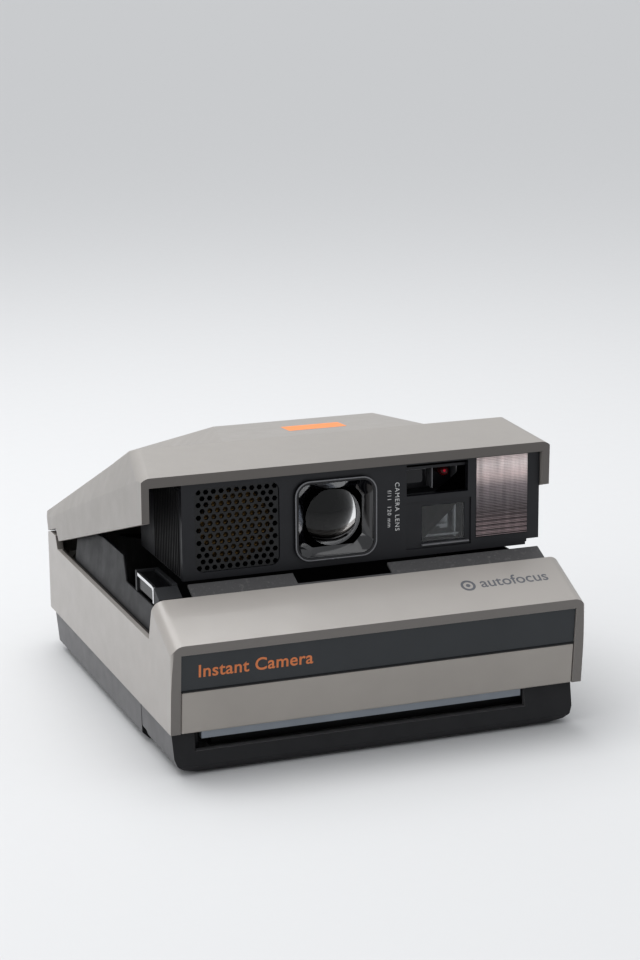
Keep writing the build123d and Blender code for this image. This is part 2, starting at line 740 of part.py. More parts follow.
def make_door_shell():
    """Dark lower part of the film door: front, floor, sides, roller bearings and knuckles."""
    half = BASE_HALF_BOTTOM
    section = [
        (-half + 8.0, FOOT),
        (-half + 3.2, FOOT + 1.0),
        (-half + 0.9, FOOT + 2.8),
        (-half, FOOT + 5.2),
        (-BASE_HALF_TOP, RIM_BOTTOM - 0.1),
        (BASE_HALF_TOP, RIM_BOTTOM - 0.1),
        (half, FOOT + 5.2),
        (half - 0.9, FOOT + 2.8),
        (half - 3.2, FOOT + 1.0),
        (half - 8.0, FOOT),
    ]
    side = [
        (DOOR_TOE + 1.6, FOOT),
        (DOOR_TOE, FOOT + 2.4),
        (DOOR_FRONT, RIM_BOTTOM - 0.1),
        (DOOR_SEAM, RIM_BOTTOM - 0.1),
        (DOOR_SEAM, 5.6),
        (38.2, 5.6),
        (38.2, FOOT),
    ]
    hollow = [
        (DOOR_TOE + 2.6, 2.6),
        (DOOR_FRONT + 2.2, RIM_BOTTOM),
        (DOOR_FRONT + 2.2, 30.0),
        (DOOR_SEAM + 1, 30.0),
        (DOOR_SEAM + 1, 2.6),
    ]
    inner = half - 2.1
    hollow_section = [
        (-63.2, 2.6),
        (-inner, 6.3),
        (-inner, 30.0),
        (inner, 30.0),
        (inner, 6.3),
        (63.2, 2.6),
    ]
    with BuildPart() as room:
        with BuildSketch(Plane.XZ.offset(-at(DOOR_TOE))):
            with BuildLine():
                Polyline(*hollow_section, close=True)
            make_face()
        extrude(amount=-(DOOR_SEAM + 1 - DOOR_TOE))
        add(across(hollow), mode=Mode.INTERSECT)
    with BuildPart() as door:
        with BuildSketch(Plane.XZ.offset(-at(DOOR_TOE))):
            with BuildLine():
                Polyline(*section, close=True)
            make_face()
        extrude(amount=-(DOOR_SEAM - DOOR_TOE))
        add(across(side), mode=Mode.INTERSECT)
        add(room.part, mode=Mode.SUBTRACT)
        add(
            box_between((EXIT_LEFT, 0, EXIT_LOW), (EXIT_RIGHT, DOOR_FRONT + 4, EXIT_HIGH)),
            mode=Mode.SUBTRACT,
        )
        for low, high in ((-62.9, -60.9), (59.0, 60.2)):
            bearing = [(12.5, 2.4), (12.5, 20.6), (21.0, 20.6), (21.0, 2.4)]
            add(slab(bearing, low, high))
            for z in (ROLLER_LOW_Z, ROLLER_HIGH_Z):
                add(
                    rod((low - 1, ROLLER_DEPTH, z), (high + 1, ROLLER_DEPTH, z), 1.5 + RUNNING),
                    mode=Mode.SUBTRACT,
                )
        for low, high in ((-25.6, -12.0), (12.0, 25.6)):
            add(box_between((low, 37.0, FOOT + 0.2), (high, DOOR_HINGE_DEPTH, 2.6)))
            add(
                rod(
                    (low, DOOR_HINGE_DEPTH, DOOR_HINGE_HEIGHT),
                    (high, DOOR_HINGE_DEPTH, DOOR_HINGE_HEIGHT),
                    KNUCKLE_R,
                )
            )
        add(
            rod(
                (-31, DOOR_HINGE_DEPTH, DOOR_HINGE_HEIGHT),
                (31, DOOR_HINGE_DEPTH, DOOR_HINGE_HEIGHT),
                DOOR_PIN_R + RUNNING,
            ),
            mode=Mode.SUBTRACT,
        )
    save("door_shell", door.part)


def make_exit_strip():
    """Pale light shield along the top of the picture exit."""
    with BuildPart() as strip:
        add(
            box_between(
                (EXIT_LEFT + 2.7, DOOR_FRONT + 0.4, EXIT_HIGH - 1.5),
                (EXIT_RIGHT - 1.0, DOOR_FRONT + 3.4, EXIT_HIGH),
            )
        )
    save("exit_strip", strip.part)


# ---------------------------------------------------------------- side controls


def make_slides():
    """Thumb slides in the right side: the film door's latch and the fold release."""
    for name, depth, z in (("door_latch", 34.0, 19.6), ("fold_latch", 127.0, 29.5)):
        with BuildPart() as slide:
            add(box_between((HALF - 3.6, depth - 4.8, z - 2.2), (HALF - 0.2, depth - 0.2, z + 2.2)))
            add(box_between((HALF - 3.9, depth - 6.0, z - 3.4), (HALF - 2.5, depth + 1.0, z + 3.4)))
            for rib in range(3):
                spot = depth - 4.0 + 1.2 * rib
                add(
                    box_between((HALF - 0.7, spot, z - 3), (HALF + 1, spot + 0.5, z + 3)),
                    mode=Mode.SUBTRACT,
                )
        save(name, slide.part)


# ---------------------------------------------------------------- rear controls


def make_control_panel():
    half = CONTROL_HALF - 0.1
    with BuildPart() as panel:
        add(
            box_between(
                (-half, DEPTH - 2.0, CONTROL_LOW + 0.1), (half, DEPTH - 0.5, CONTROL_HIGH - 0.1)
            )
        )
        add(box_between((-half - 2, DEPTH - 4.2, 20.5), (half + 2, DEPTH - 2.6, 39.5)))
        add(box_between((-half, DEPTH - 2.7, 22.5), (half, DEPTH - 1.9, 37.5)))
        add(box_between((-36, DEPTH - 1.4, 25.0), (-14, DEPTH + 1, 35.0)), mode=Mode.SUBTRACT)
        for x in SWITCHES.values():
            add(
                box_between((x - 1.6, DEPTH - 5, 25.6), (x + 1.6, DEPTH + 1, 34.4)),
                mode=Mode.SUBTRACT,
            )
        add(
            box_between((SLIDER_X - 7.5, DEPTH - 5, 28.4), (SLIDER_X + 7.5, DEPTH + 1, 31.6)),
            mode=Mode.SUBTRACT,
        )
    save("control_panel", panel.part)
    with BuildPart() as display:
        add(box_between((-35.8, DEPTH - 1.4, 25.2), (-14.2, DEPTH - 0.6, 34.8)))
    save("display_window", display.part)


def switch(x, width, height):
    """Button head with a ribbed face, standing in its slot."""
    with BuildPart() as body:
        add(
            box_between(
                (x - width / 2, DEPTH - 4.0, SWITCH_Z - height / 2),
                (x + width / 2, DEPTH, SWITCH_Z + height / 2),
            )
        )
    return body.part


def make_switches():
    for name, x in SWITCHES.items():
        save(name, switch(x, 2.8, 3.4))
    save("exposure_slider", switch(SLIDER_X, 4.0, 2.8))


# ---------------------------------------------------------------- upper half


def make_top_cover():
    bevel = (BEVEL_TOP - VISOR_TOP) / (BEVEL_END - VISOR_DEPTH)
    fall = (BEVEL_TOP - COVER_END_TOP) / (COVER_END - BEVEL_END)
    under_bevel = WALL / cos(atan(bevel))
    under_top = WALL / cos(atan(fall))
    outline = [
        (LEG_DEPTH, LEG_BOTTOM),
        (VISOR_DEPTH, VISOR_TOP),
        (BEVEL_END, BEVEL_TOP),
        (COVER_END, COVER_END_TOP),
        (COVER_REAR - 0.4, COVER_END_TOP - 2.0),
        (COVER_REAR, SKIRT_BOTTOM),
        (SIDE_RIM_END + 1.4, SKIRT_BOTTOM),
        (SIDE_RIM_END - 1.2, LEG_BOTTOM),
    ]
    knee = 44.7
    void = cavity(
        [
            (5.0, VISOR_TOP - under_bevel + (5.0 - VISOR_DEPTH) * bevel),
            (knee, VISOR_TOP - under_bevel + (knee - VISOR_DEPTH) * bevel),
            (DEPTH - WALL, BEVEL_TOP - under_top - (DEPTH - WALL - BEVEL_END) * fall),
            (DEPTH - WALL, 20.0),
            (5.0, 20.0),
        ],
        WALL + 0.2,
    )
    hump = [
        (BEVEL_END, BEVEL_TOP),
        (HUMP_RIDGE, HUMP_TOP),
        (HUMP_END - 3.0, HUMP_TOP - 1.5),
        (HUMP_END, HUMP_TOP - 5.0),
        (HUMP_END + 1.0, 54.0),
        (BEVEL_END, 60.0),
    ]
    hump_void = [
        (BEVEL_END + 6.0, 50.0),
        (BEVEL_END + 6.0, 66.0),
        (HUMP_RIDGE + 0.6, HUMP_TOP - WALL),
        (HUMP_END - 4.2, HUMP_TOP - 1.5 - WALL),
        (HUMP_END - 2.2, HUMP_TOP - 7.0),
        (HUMP_END - 1.4, 50.0),
    ]
    lip = [(21.5, 55.1), (22.25, 52.77), (23.87, 53.3), (23.1, 55.9)]
    shoulder = ((HALF, VISOR_DEPTH, VISOR_TOP), SHOULDER_FRONT, SHOULDER_REAR)
    blank = trimmed(across(outline), through_three(shoulder))
    hollow = trimmed(void, through_three(shoulder, WALL))
    hump_blank = trimmed(across(hump, 70), through_three(HUMP_CORNERS))
    hump_hollow = trimmed(across(hump_void, 70), through_three(HUMP_CORNERS, WALL))
    eye_x = FINDER_X
    with BuildPart() as cover:
        add(blank)
        add(plan_blank(0, 0), mode=Mode.INTERSECT)
        visor_corners = edges().filter_by(
            lambda e: abs(e.center().X) > 60
            and e.length > 20
            and at(VISOR_DEPTH) < e.center().Y < at(BEVEL_END)
            and VISOR_TOP < e.center().Z < BEVEL_TOP
        )
        fillet(visor_corners, 4.2)
        add(hump_blank)
        add(hollow, mode=Mode.SUBTRACT)
        add(hump_hollow, mode=Mode.SUBTRACT)
        add(across(lip, HALF - WALL + 0.4))
        add(mirrored(box_between((59.4, 151.0, 47.0), (62.4, 157.0, 52.6))))
        add(
            mirrored(
                rod((59.4, HINGE_DEPTH, HINGE_HEIGHT), (62.4, HINGE_DEPTH, HINGE_HEIGHT), 3.4)
            )
        )
        add(
            rod(
                (-63, HINGE_DEPTH, HINGE_HEIGHT),
                (63, HINGE_DEPTH, HINGE_HEIGHT),
                HINGE_PIN_R + RUNNING,
            ),
            mode=Mode.SUBTRACT,
        )
        add(front_block(eye_x, 63.5, 17.0, 10.0, 140, 20, 2.0), mode=Mode.SUBTRACT)
    save("top_cover", opened(cover.part))


def make_pivot_pins():
    """Pins of the fold hinge, of the struts and of the film door, two of each."""
    strut_depth, strut_z = STRUT_PIVOT
    with BuildPart() as pins:
        add(
            rod((58.8, HINGE_DEPTH, HINGE_HEIGHT), (66.0, HINGE_DEPTH, HINGE_HEIGHT), HINGE_PIN_R)
        )
        add(rod((63.6, strut_depth, strut_z), (66.4, strut_depth, strut_z), STRUT_PIN_R))
        add(
            rod(
                (12.5, DOOR_HINGE_DEPTH, DOOR_HINGE_HEIGHT),
                (30.0, DOOR_HINGE_DEPTH, DOOR_HINGE_HEIGHT),
                DOOR_PIN_R,
            )
        )
    save("pivot_pins", mirrored(pins.part))


def make_eyepiece():
    """Window frame and lens at the rear of the hump."""
    with BuildPart() as eyepiece:
        add(front_block(FINDER_X, 63.5, 16.6, 9.6, 148.5, 6.0, 1.8))
        add(front_block(FINDER_X, 63.5, 12.6, 6.4, 153.1, 6.0, 1.2), mode=Mode.SUBTRACT)
        add(front_block(FINDER_X, 63.5, 12.6, 6.4, 147.0, 3.5, 1.2), mode=Mode.SUBTRACT)
    save("eyepiece", opened(eyepiece.part))


def make_optics_panel():
    outline = [
        (PANEL_LEFT, PANEL_BOTTOM),
        (PANEL_STEP, PANEL_BOTTOM),
        (PANEL_STEP, PANEL_END_BOTTOM),
        (PANEL_RIGHT, PANEL_END_BOTTOM),
        (PANEL_RIGHT, PANEL_TOP),
        (PANEL_LEFT, PANEL_TOP),
    ]
    with BuildPart() as panel:
        with BuildSketch(Plane.XZ.offset(-at(PANEL_DEPTH))):
            with BuildLine():
                Polyline(*outline, close=True)
            make_face()
            with Locations((GRILLE_X, GRILLE_Z)):
                RectangleRounded(GRILLE_W, GRILLE_H, 3.0, mode=Mode.SUBTRACT)
            with Locations((LENS_X, LENS_Z)):
                RectangleRounded(BEZEL_W - 1.6, BEZEL_H - 1.6, 4.6, mode=Mode.SUBTRACT)
            with Locations((FINDER_X, FINDER_Z)):
                Rectangle(FINDER_W, FINDER_H, mode=Mode.SUBTRACT)
            with Locations((EYE_X, EYE_Z)):
                Rectangle(EYE_W, EYE_H, mode=Mode.SUBTRACT)
            with Locations((FLASH_X, FLASH_Z)):
                Rectangle(FLASH_W, FLASH_H, mode=Mode.SUBTRACT)
        extrude(amount=-PANEL_T)
        add(
            front_block(FINDER_X - 1.9, FINDER_Z - 0.1, 24.0, 16.4, PANEL_DEPTH - 1, 1.6),
            mode=Mode.SUBTRACT,
        )
        back = PANEL_DEPTH + PANEL_T
        add(front_block(EYE_X, EYE_Z - 0.9, EYE_W + 1.2, EYE_H - 0.5, back, 8.0))
        add(front_block(EYE_X, EYE_Z - 0.9, EYE_W - 0.8, EYE_H - 2.5, back, 7.2), mode=Mode.SUBTRACT)
    save("optics_panel", panel.part)


def make_sonar():
    """Perforated grille and the round transducer behind it."""
    pitch = 2.65
    spots = []
    for row in range(13):
        count = 11 if row % 2 == 0 else 10
        for column in range(count):
            x = GRILLE_X + (column - (count - 1) / 2) * pitch
            z = GRILLE_Z + (row - 6) * pitch * sin(radians(54))
            spots.append((x, z))
    with BuildPart() as grille:
        with BuildSketch(Plane.XZ.offset(-at(PANEL_DEPTH + 0.5))):
            with Locations((GRILLE_X, GRILLE_Z)):
                RectangleRounded(GRILLE_W - 0.2, GRILLE_H - 0.2, 2.9)
            with Locations(*spots):
                RegularPolygon(0.95, 6, mode=Mode.SUBTRACT)
        extrude(amount=-1.2)
    save("sonar_grille", grille.part)
    with BuildPart() as transducer:
        add(rod((GRILLE_X, 34.2, GRILLE_Z), (GRILLE_X, 39.0, GRILLE_Z), 12.6))
        add(rod((GRILLE_X, 33.9, GRILLE_Z), (GRILLE_X, 34.6, GRILLE_Z), 11.2), mode=Mode.SUBTRACT)
    save("sonar_transducer", transducer.part)


def make_lens_group():
    with BuildPart() as bezel:
        add(front_block(LENS_X, LENS_Z, BEZEL_W, BEZEL_H, 30.2, 1.3, 5.4))
        add(front_block(LENS_X, LENS_Z, BEZEL_W - 1.8, BEZEL_H - 1.8, 31.4, 2.2, 4.5))
        add(
            front_block(LENS_X, LENS_Z, BEZEL_W - 2.6, BEZEL_H - 2.6, 29, 6, 4.2),
            mode=Mode.SUBTRACT,
        )
    save("lens_bezel", bezel.part)
    with BuildPart() as barrel:
        add(front_block(LENS_X, LENS_Z, BEZEL_W - 2.9, BEZEL_H - 2.9, 32.6, 1.4, 4.0))
        add(rod((LENS_X, 31.4, LENS_Z), (LENS_X, 46.0, LENS_Z), BARREL_R))
        add(rod((LENS_X, 30, LENS_Z), (LENS_X, 47, LENS_Z), BARREL_R - 1.2), mode=Mode.SUBTRACT)
    save("lens_barrel", barrel.part)
    radius = 24.0
    half = BARREL_R - 1.3
    sag = radius - sqrt(radius**2 - half**2)
    with BuildPart() as lens:
        with BuildSketch(Plane.YZ.offset(LENS_X)):
            with BuildLine():
                Line((at(32.2), LENS_Z), (at(36.5), LENS_Z))
                Line((at(36.5), LENS_Z), (at(36.5), LENS_Z + half))
                Line((at(36.5), LENS_Z + half), (at(32.2 + sag), LENS_Z + half))
                RadiusArc((at(32.2 + sag), LENS_Z + half), (at(32.2), LENS_Z), -radius)
            make_face()
        revolve(axis=Axis((LENS_X, 0, LENS_Z), (0, 1, 0)))
    save("front_lens", lens.part)


def make_lens_housing():
    """Box behind the optics panel that holds lens, shutter, flash and rangefinder."""
    outer = [
        (HOUSING_FRONT, PANEL_BOTTOM + 0.2),
        (HOUSING_FRONT, 88.3),
        (62.0, 88.3),
        (HOUSING_END, 80.5),
        (HOUSING_END, PANEL_BOTTOM + 0.2),
    ]
    inner = [
        (HOUSING_FRONT - 1, PANEL_BOTTOM + 0.2 + HOUSING_WALL),
        (HOUSING_FRONT - 1, 86.8),
        (61.7, 86.8),
        (HOUSING_END - 1.5, 79.5),
        (HOUSING_END - 1.5, PANEL_BOTTOM + 0.2 + HOUSING_WALL),
    ]
    with BuildPart() as housing:
        add(slab(outer, PANEL_LEFT, HOUSING_RIGHT))
        add(
            slab(inner, PANEL_LEFT + HOUSING_WALL, HOUSING_RIGHT - HOUSING_WALL),
            mode=Mode.SUBTRACT,
        )
        add(front_block(LENS_X, 70.0, 46.0, 15.0, 76, 6), mode=Mode.SUBTRACT)
        add(front_block(FINDER_X, FINDER_Z, 17.4, 14.4, 76, 6), mode=Mode.SUBTRACT)
        add(box_between((19.6, 33.0, 86.0), (44.2, 42.4, 89.0)), mode=Mode.SUBTRACT)
    save("lens_housing", housing.part)


def make_shutter():
    """Shutter plate with an opening, two blades that part sideways and a focus disc."""
    with BuildPart() as plate:
        add(front_block(LENS_X, LENS_Z + 0.3, 46.0, 24.0, 52.4, 1.4))
        add(rod((LENS_X, 50, LENS_Z), (LENS_X, 56, LENS_Z), 6.0), mode=Mode.SUBTRACT)
        add(rod((ARM_X, 47.0, ARM_Z), (ARM_X, 52.6, ARM_Z), 1.0))
    save("shutter_plate", plate.part)
    for name, side, depth in (("shutter_blade_left", -1, 51.0), ("shutter_blade_right", 1, 51.7)):
        with BuildPart() as blade:
            add(front_block(LENS_X + side * 4.2, LENS_Z - 6.4, 12.6, 3.4, depth, 0.4, 0.8))
            add(front_block(LENS_X + side * 4.2, LENS_Z, 12.6, 13.0, depth, 0.4, 2.0))
        save(name, blade.part)
    reach = Vector(LENS_X - ARM_X, LENS_Z - ARM_Z, 0)
    with BuildPart() as arm:
        with BuildSketch(Plane.XZ.offset(-at(48.2))):
            with Locations(Location(((ARM_X + LENS_X) / 2, (ARM_Z + LENS_Z) / 2, 0))):
                SlotCenterToCenter(
                    reach.length, 5.0, rotation=degrees_of(reach.X, reach.Y)
                )
            with Locations((LENS_X, LENS_Z)):
                Circle(7.0)
                Circle(5.4, mode=Mode.SUBTRACT)
            with Locations((ARM_X, ARM_Z)):
                Circle(1.0 + RUNNING, mode=Mode.SUBTRACT)
        extrude(amount=-1.2)
    save("focus_arm", arm.part)


def make_finder_parts():
    with BuildPart() as window:
        add(front_block(FINDER_X, FINDER_Z, FINDER_W - 0.2, FINDER_H - 0.2, 32.3, 1.1))
    save("finder_window", window.part)
    with BuildPart() as tube:
        add(front_block(FINDER_X, FINDER_Z, 17.0, 14.0, 34.0, 66.0))
        add(front_block(FINDER_X, FINDER_Z, 15.0, 12.0, 33.0, 68.0), mode=Mode.SUBTRACT)
    save("finder_tube", tube.part)
    with BuildPart() as led:
        add(rod((LED_X, 33.6, LED_Z), (LED_X, 40.6, LED_Z), 1.7))
    save("status_light", led.part)
    with BuildPart() as cell:
        add(front_block(24.6, 84.6, 6.0, 4.4, 34.6, 6.0, 0.8))
    save("light_cell", cell.part)


def make_flash():
    with BuildPart() as window:
        add(front_block(FLASH_X, FLASH_Z, FLASH_W - 0.2, FLASH_H - 0.2, PANEL_DEPTH - 0.2, 2.0))
    save("flash_window", window.part)
    trough = [(46.9, 34.1), (52.4, 45.0), (59.6, 45.0), (64.9, 34.1)]
    low, high = 62.6, 85.9
    with BuildPart() as reflector:
        with BuildSketch(Plane.XY.offset(low)):
            with BuildLine():
                Polyline(*[(x, at(depth)) for x, depth in trough])
                offset(amount=0.35)
            make_face()
        extrude(amount=high - low)
    save("flash_reflector", reflector.part)
    save("flash_tube", rod((FLASH_X, 41.0, low + 0.5), (FLASH_X, 41.0, high - 0.5), 1.6))
    save("flash_capacitor", rod((45.0, 62.0, 70.0), (60.8, 62.0, 70.0), 7.5))


def make_mirror():
    """Trapezoid carrier under the top cover with the mirror on its lower face."""
    with BuildPart() as carrier:
        with BuildSketch(Plane.XY.offset(20)):
            with BuildLine():
                Polyline((-27, at(84)), (17, at(84)), (42, at(140)), (-42, at(140)), close=True)
            make_face()
        extrude(amount=80)
        add(across([(84, 78.0), (84, 80.0), (140, 50.0), (140, 48.0)]), mode=Mode.INTERSECT)
    save("mirror_carrier", carrier.part)
    with BuildPart() as glass:
        with BuildSketch(Plane.XY.offset(20)):
            with BuildLine():
                Polyline((-25, at(86)), (15, at(86)), (40, at(138)), (-40, at(138)), close=True)
            make_face()
        extrude(amount=80)
        add(across([(84, 76.6), (84, 77.9), (140, 47.9), (140, 46.6)]), mode=Mode.INTERSECT)
    save("mirror", glass.part)


def make_struts():
    """Links that hold the upper half up, each on a pivot pin in the lower cover."""
    (pivot, low), (tip, high) = STRUT_PIVOT, STRUT_TIP
    run, rise = tip - pivot, high - low
    length = sqrt(run**2 + rise**2)
    across_link = (rise / length * 2.2, -run / length * 2.2)
    link = [
        (pivot + across_link[0], low + across_link[1]),
        (tip + across_link[0], high + across_link[1]),
        (tip - across_link[0], high - across_link[1]),
        (pivot - across_link[0], low - across_link[1]),
    ]
    outer = STRUT_X + STRUT_T
    with BuildPart() as strut:
        add(slab(link, STRUT_X, outer))
        add(rod((STRUT_X, pivot, low), (outer, pivot, low), 3.2))
        add(rod((STRUT_X, tip, high), (outer, tip, high), 2.6))
        add(
            rod((STRUT_X - 1, pivot, low), (outer + 1, pivot, low), STRUT_PIN_R + RUNNING),
            mode=Mode.SUBTRACT,
        )
        add(
            rod((STRUT_X - 1, tip, high), (outer + 1, tip, high), STRUT_PIN_R),
            mode=Mode.SUBTRACT,
        )
    save("struts", mirrored(strut.part))


def make_electronics():
    with BuildPart() as board:
        add(box_between((-69.2, 62.0, 16.0), (-60.0, 63.6, 29.6)))
        add(box_between((-69.2, 63.6, 16.0), (-67.6, 140.0, 29.6)))
    save("circuit_board", board.part)
    with BuildPart() as picker:
        add(box_between((PICKER_X - 1.8, 110.0, 18.2), (PICKER_X + 1.8, 137.2, 19.4)))
        add(box_between((PICKER_X - 1.8, 136.0, 14.6), (PICKER_X + 1.8, 137.2, 18.2)))
    save("film_picker", picker.part)


make_lower_cover()
make_front_band()
make_front_chassis()
make_shutter_button()
make_deck_cover()
make_side_liners()
make_base_shell()
make_base_fittings()
make_film_frame()
make_film_pack()
make_bellows()
make_gear_bracket()
make_gears()
make_motor()
make_rollers()
make_door_panel()
make_door_shell()
make_exit_strip()
make_slides()
make_control_panel()
make_switches()
make_top_cover()
make_pivot_pins()
make_eyepiece()
make_optics_panel()
make_sonar()
make_lens_group()
make_lens_housing()
make_shutter()
make_finder_parts()
make_flash()
make_mirror()
make_struts()
make_electronics()
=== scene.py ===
import math
import bpy
from mathutils import Matrix, Vector


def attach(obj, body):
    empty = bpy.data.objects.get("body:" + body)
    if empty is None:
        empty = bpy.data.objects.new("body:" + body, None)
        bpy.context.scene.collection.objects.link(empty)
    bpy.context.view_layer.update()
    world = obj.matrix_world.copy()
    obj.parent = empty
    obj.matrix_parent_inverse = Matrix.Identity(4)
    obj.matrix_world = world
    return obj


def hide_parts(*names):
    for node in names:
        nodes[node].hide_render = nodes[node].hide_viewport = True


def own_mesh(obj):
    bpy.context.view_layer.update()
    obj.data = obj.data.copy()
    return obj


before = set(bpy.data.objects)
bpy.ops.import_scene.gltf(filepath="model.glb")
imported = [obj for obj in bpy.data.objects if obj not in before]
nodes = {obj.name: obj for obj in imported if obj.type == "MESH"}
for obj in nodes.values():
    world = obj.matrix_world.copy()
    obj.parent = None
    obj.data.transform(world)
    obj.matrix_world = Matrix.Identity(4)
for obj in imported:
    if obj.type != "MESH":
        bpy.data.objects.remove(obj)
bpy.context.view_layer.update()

MM = 0.001
FRONT_Y = -82.5  # Y of the foremost edge, in mm


def P(x, depth, z):
    """Point in the shared frame from millimetres, depth measured back from the foremost edge."""
    return Vector((x, depth + FRONT_Y, z)) * MM


# ---------------------------------------------------------------- materials


def new_material(name):
    """Empty material with one Principled shader; returns it with its tree and coordinates."""
    mat = bpy.data.materials.new(name)
    mat.use_nodes = True
    tree = mat.node_tree
    tree.nodes.clear()
    out = tree.nodes.new("ShaderNodeOutputMaterial")
    bsdf = tree.nodes.new("ShaderNodeBsdfPrincipled")
    tree.links.new(bsdf.outputs[0], out.inputs[0])
    coord = tree.nodes.new("ShaderNodeTexCoord")
    return mat, tree, bsdf, coord


def noise(tree, coord, size, detail=3.0, stretch=None):
    """Noise with features about size metres across."""
    node = tree.nodes.new("ShaderNodeTexNoise")
    node.inputs["Scale"].default_value = 1.0 / size
    node.inputs["Detail"].default_value = detail
    if stretch:
        mapping = tree.nodes.new("ShaderNodeMapping")
        mapping.inputs["Scale"].default_value = stretch
        tree.links.new(coord.outputs["Object"], mapping.inputs["Vector"])
        tree.links.new(mapping.outputs[0], node.inputs["Vector"])
    else:
        tree.links.new(coord.outputs["Object"], node.inputs["Vector"])
    return node


def remap(tree, socket, low, high, out_low, out_high):
    """The socket's value with low to high stretched to out_low to out_high, clamped."""
    node = tree.nodes.new("ShaderNodeMapRange")
    node.inputs["From Min"].default_value = low
    node.inputs["From Max"].default_value = high
    node.inputs["To Min"].default_value = out_low
    node.inputs["To Max"].default_value = out_high
    tree.links.new(socket, node.inputs["Value"])
    return node.outputs["Result"]


def mixed(tree, factor, a, b, mode="MIX"):
    """Colour blended from a and b; each argument is a socket, a number or a colour."""
    node = tree.nodes.new("ShaderNodeMix")
    node.data_type = "RGBA"
    node.blend_type = mode
    for socket, value in ((node.inputs[0], factor), (node.inputs[6], a), (node.inputs[7], b)):
        if hasattr(value, "is_linked"):
            tree.links.new(value, socket)
        elif isinstance(value, (int, float)):
            socket.default_value = value
        else:
            socket.default_value = (*value, 1.0)
    return node.outputs[2]


DUST = (0.34, 0.33, 0.32)
FRONT_SHADE_START, FRONT_SHADE_FULL = -0.62, -0.86  # object normal's Y where the painted shade on forward faces comes in


def plastic(
    name,
    colour,
    rough=0.45,
    metal=0.0,
    grain=0.0,
    grain_size=0.0005,
    mottle=0.06,
    dust=0.0,
    coat=0.0,
    specular=0.5,
    flecks=None,
    front=None,
):
    """Moulded or metal surface with fine grain and uneven gloss.

    It may also have dust, lighter flecks and painted shade: a darker colour on the faces that look
    forwards.
    """
    mat, tree, bsdf, coord = new_material(name)
    broad = noise(tree, coord, 0.018, 4)
    tone = remap(tree, broad.outputs[0], 0.3, 0.7, 1 - mottle, 1 + mottle)
    base = mixed(tree, 1.0, colour, tone, "MULTIPLY")
    fine = noise(tree, coord, grain_size, 2)
    if flecks:
        spots = remap(tree, fine.outputs[0], 0.62, 0.72, 0.0, 1.0)
        base = mixed(tree, spots, base, flecks)
    if dust:
        lint = noise(tree, coord, 0.0016, 8)
        patch = noise(tree, coord, 0.03, 3)
        grains = remap(tree, lint.outputs[0], 0.56, 0.74, 0.0, dust)
        where = remap(tree, patch.outputs[0], 0.35, 0.7, 0.25, 1.0)
        amount = tree.nodes.new("ShaderNodeMath")
        amount.operation = "MULTIPLY"
        tree.links.new(grains, amount.inputs[0])
        tree.links.new(where, amount.inputs[1])
        base = mixed(tree, amount.outputs[0], base, DUST)
    # Painted shade: faces that look forwards take the darker front colour.
    if front:
        split = tree.nodes.new("ShaderNodeSeparateXYZ")
        tree.links.new(coord.outputs["Normal"], split.inputs[0])
        front_shade_mask = remap(tree, split.outputs["Y"], FRONT_SHADE_START, FRONT_SHADE_FULL, 0.0, 1.0)
        base = mixed(tree, front_shade_mask, base, front)
    tree.links.new(base, bsdf.inputs["Base Color"])
    gloss = noise(tree, coord, 0.007, 5)
    tree.links.new(
        remap(tree, gloss.outputs[0], 0.3, 0.7, rough * 0.88, min(1.0, rough * 1.12)),
        bsdf.inputs["Roughness"],
    )
    bsdf.inputs["Metallic"].default_value = metal
    bsdf.inputs["Specular IOR Level"].default_value = specular
    bsdf.inputs["Coat Weight"].default_value = coat
    bsdf.inputs["Coat Roughness"].default_value = 0.08
    if grain:
        bump = tree.nodes.new("ShaderNodeBump")
        bump.inputs["Strength"].default_value = grain
        bump.inputs["Distance"].default_value = 0.00008
        tree.links.new(fine.outputs[0], bump.inputs["Height"])
        tree.links.new(bump.outputs[0], bsdf.inputs["Normal"])
    return mat


def glass(name, colour, rough, ior):
    """Clear tinted material with faint smears."""
    mat, tree, bsdf, coord = new_material(name)
    smear = noise(tree, coord, 0.006, 5)
    tree.links.new(
        remap(tree, smear.outputs[0], 0.35, 0.75, rough, rough + 0.05),
        bsdf.inputs["Roughness"],
    )
    bsdf.inputs["Base Color"].default_value = (*colour, 1.0)
    bsdf.inputs["IOR"].default_value = ior
    bsdf.inputs["Transmission Weight"].default_value = 1.0
    return mat


def ramp(tree, socket, stops):
    """Colour that follows a value through (position, colour) stops."""
    node = tree.nodes.new("ShaderNodeValToRGB")
    tree.links.new(socket, node.inputs[0])
    elements = node.color_ramp.elements
    elements[0].position, elements[0].color = stops[0][0], (*stops[0][1], 1)
    elements[1].position, elements[1].color = stops[-1][0], (*stops[-1][1], 1)
    for position, colour in stops[1:-1]:
        elements.new(position).color = (*colour, 1)
    return node.outputs[0]


FLASH_FOOT, FLASH_HEAD = 61.85, 89.75  # lower and upper edge of the flash window, in mm
SHADE_LINE_PITCH, SHADE_LINE_WIDTH = 0.0008, 0.00042  # half the spacing and width of its painted shade lines between ribs, in m
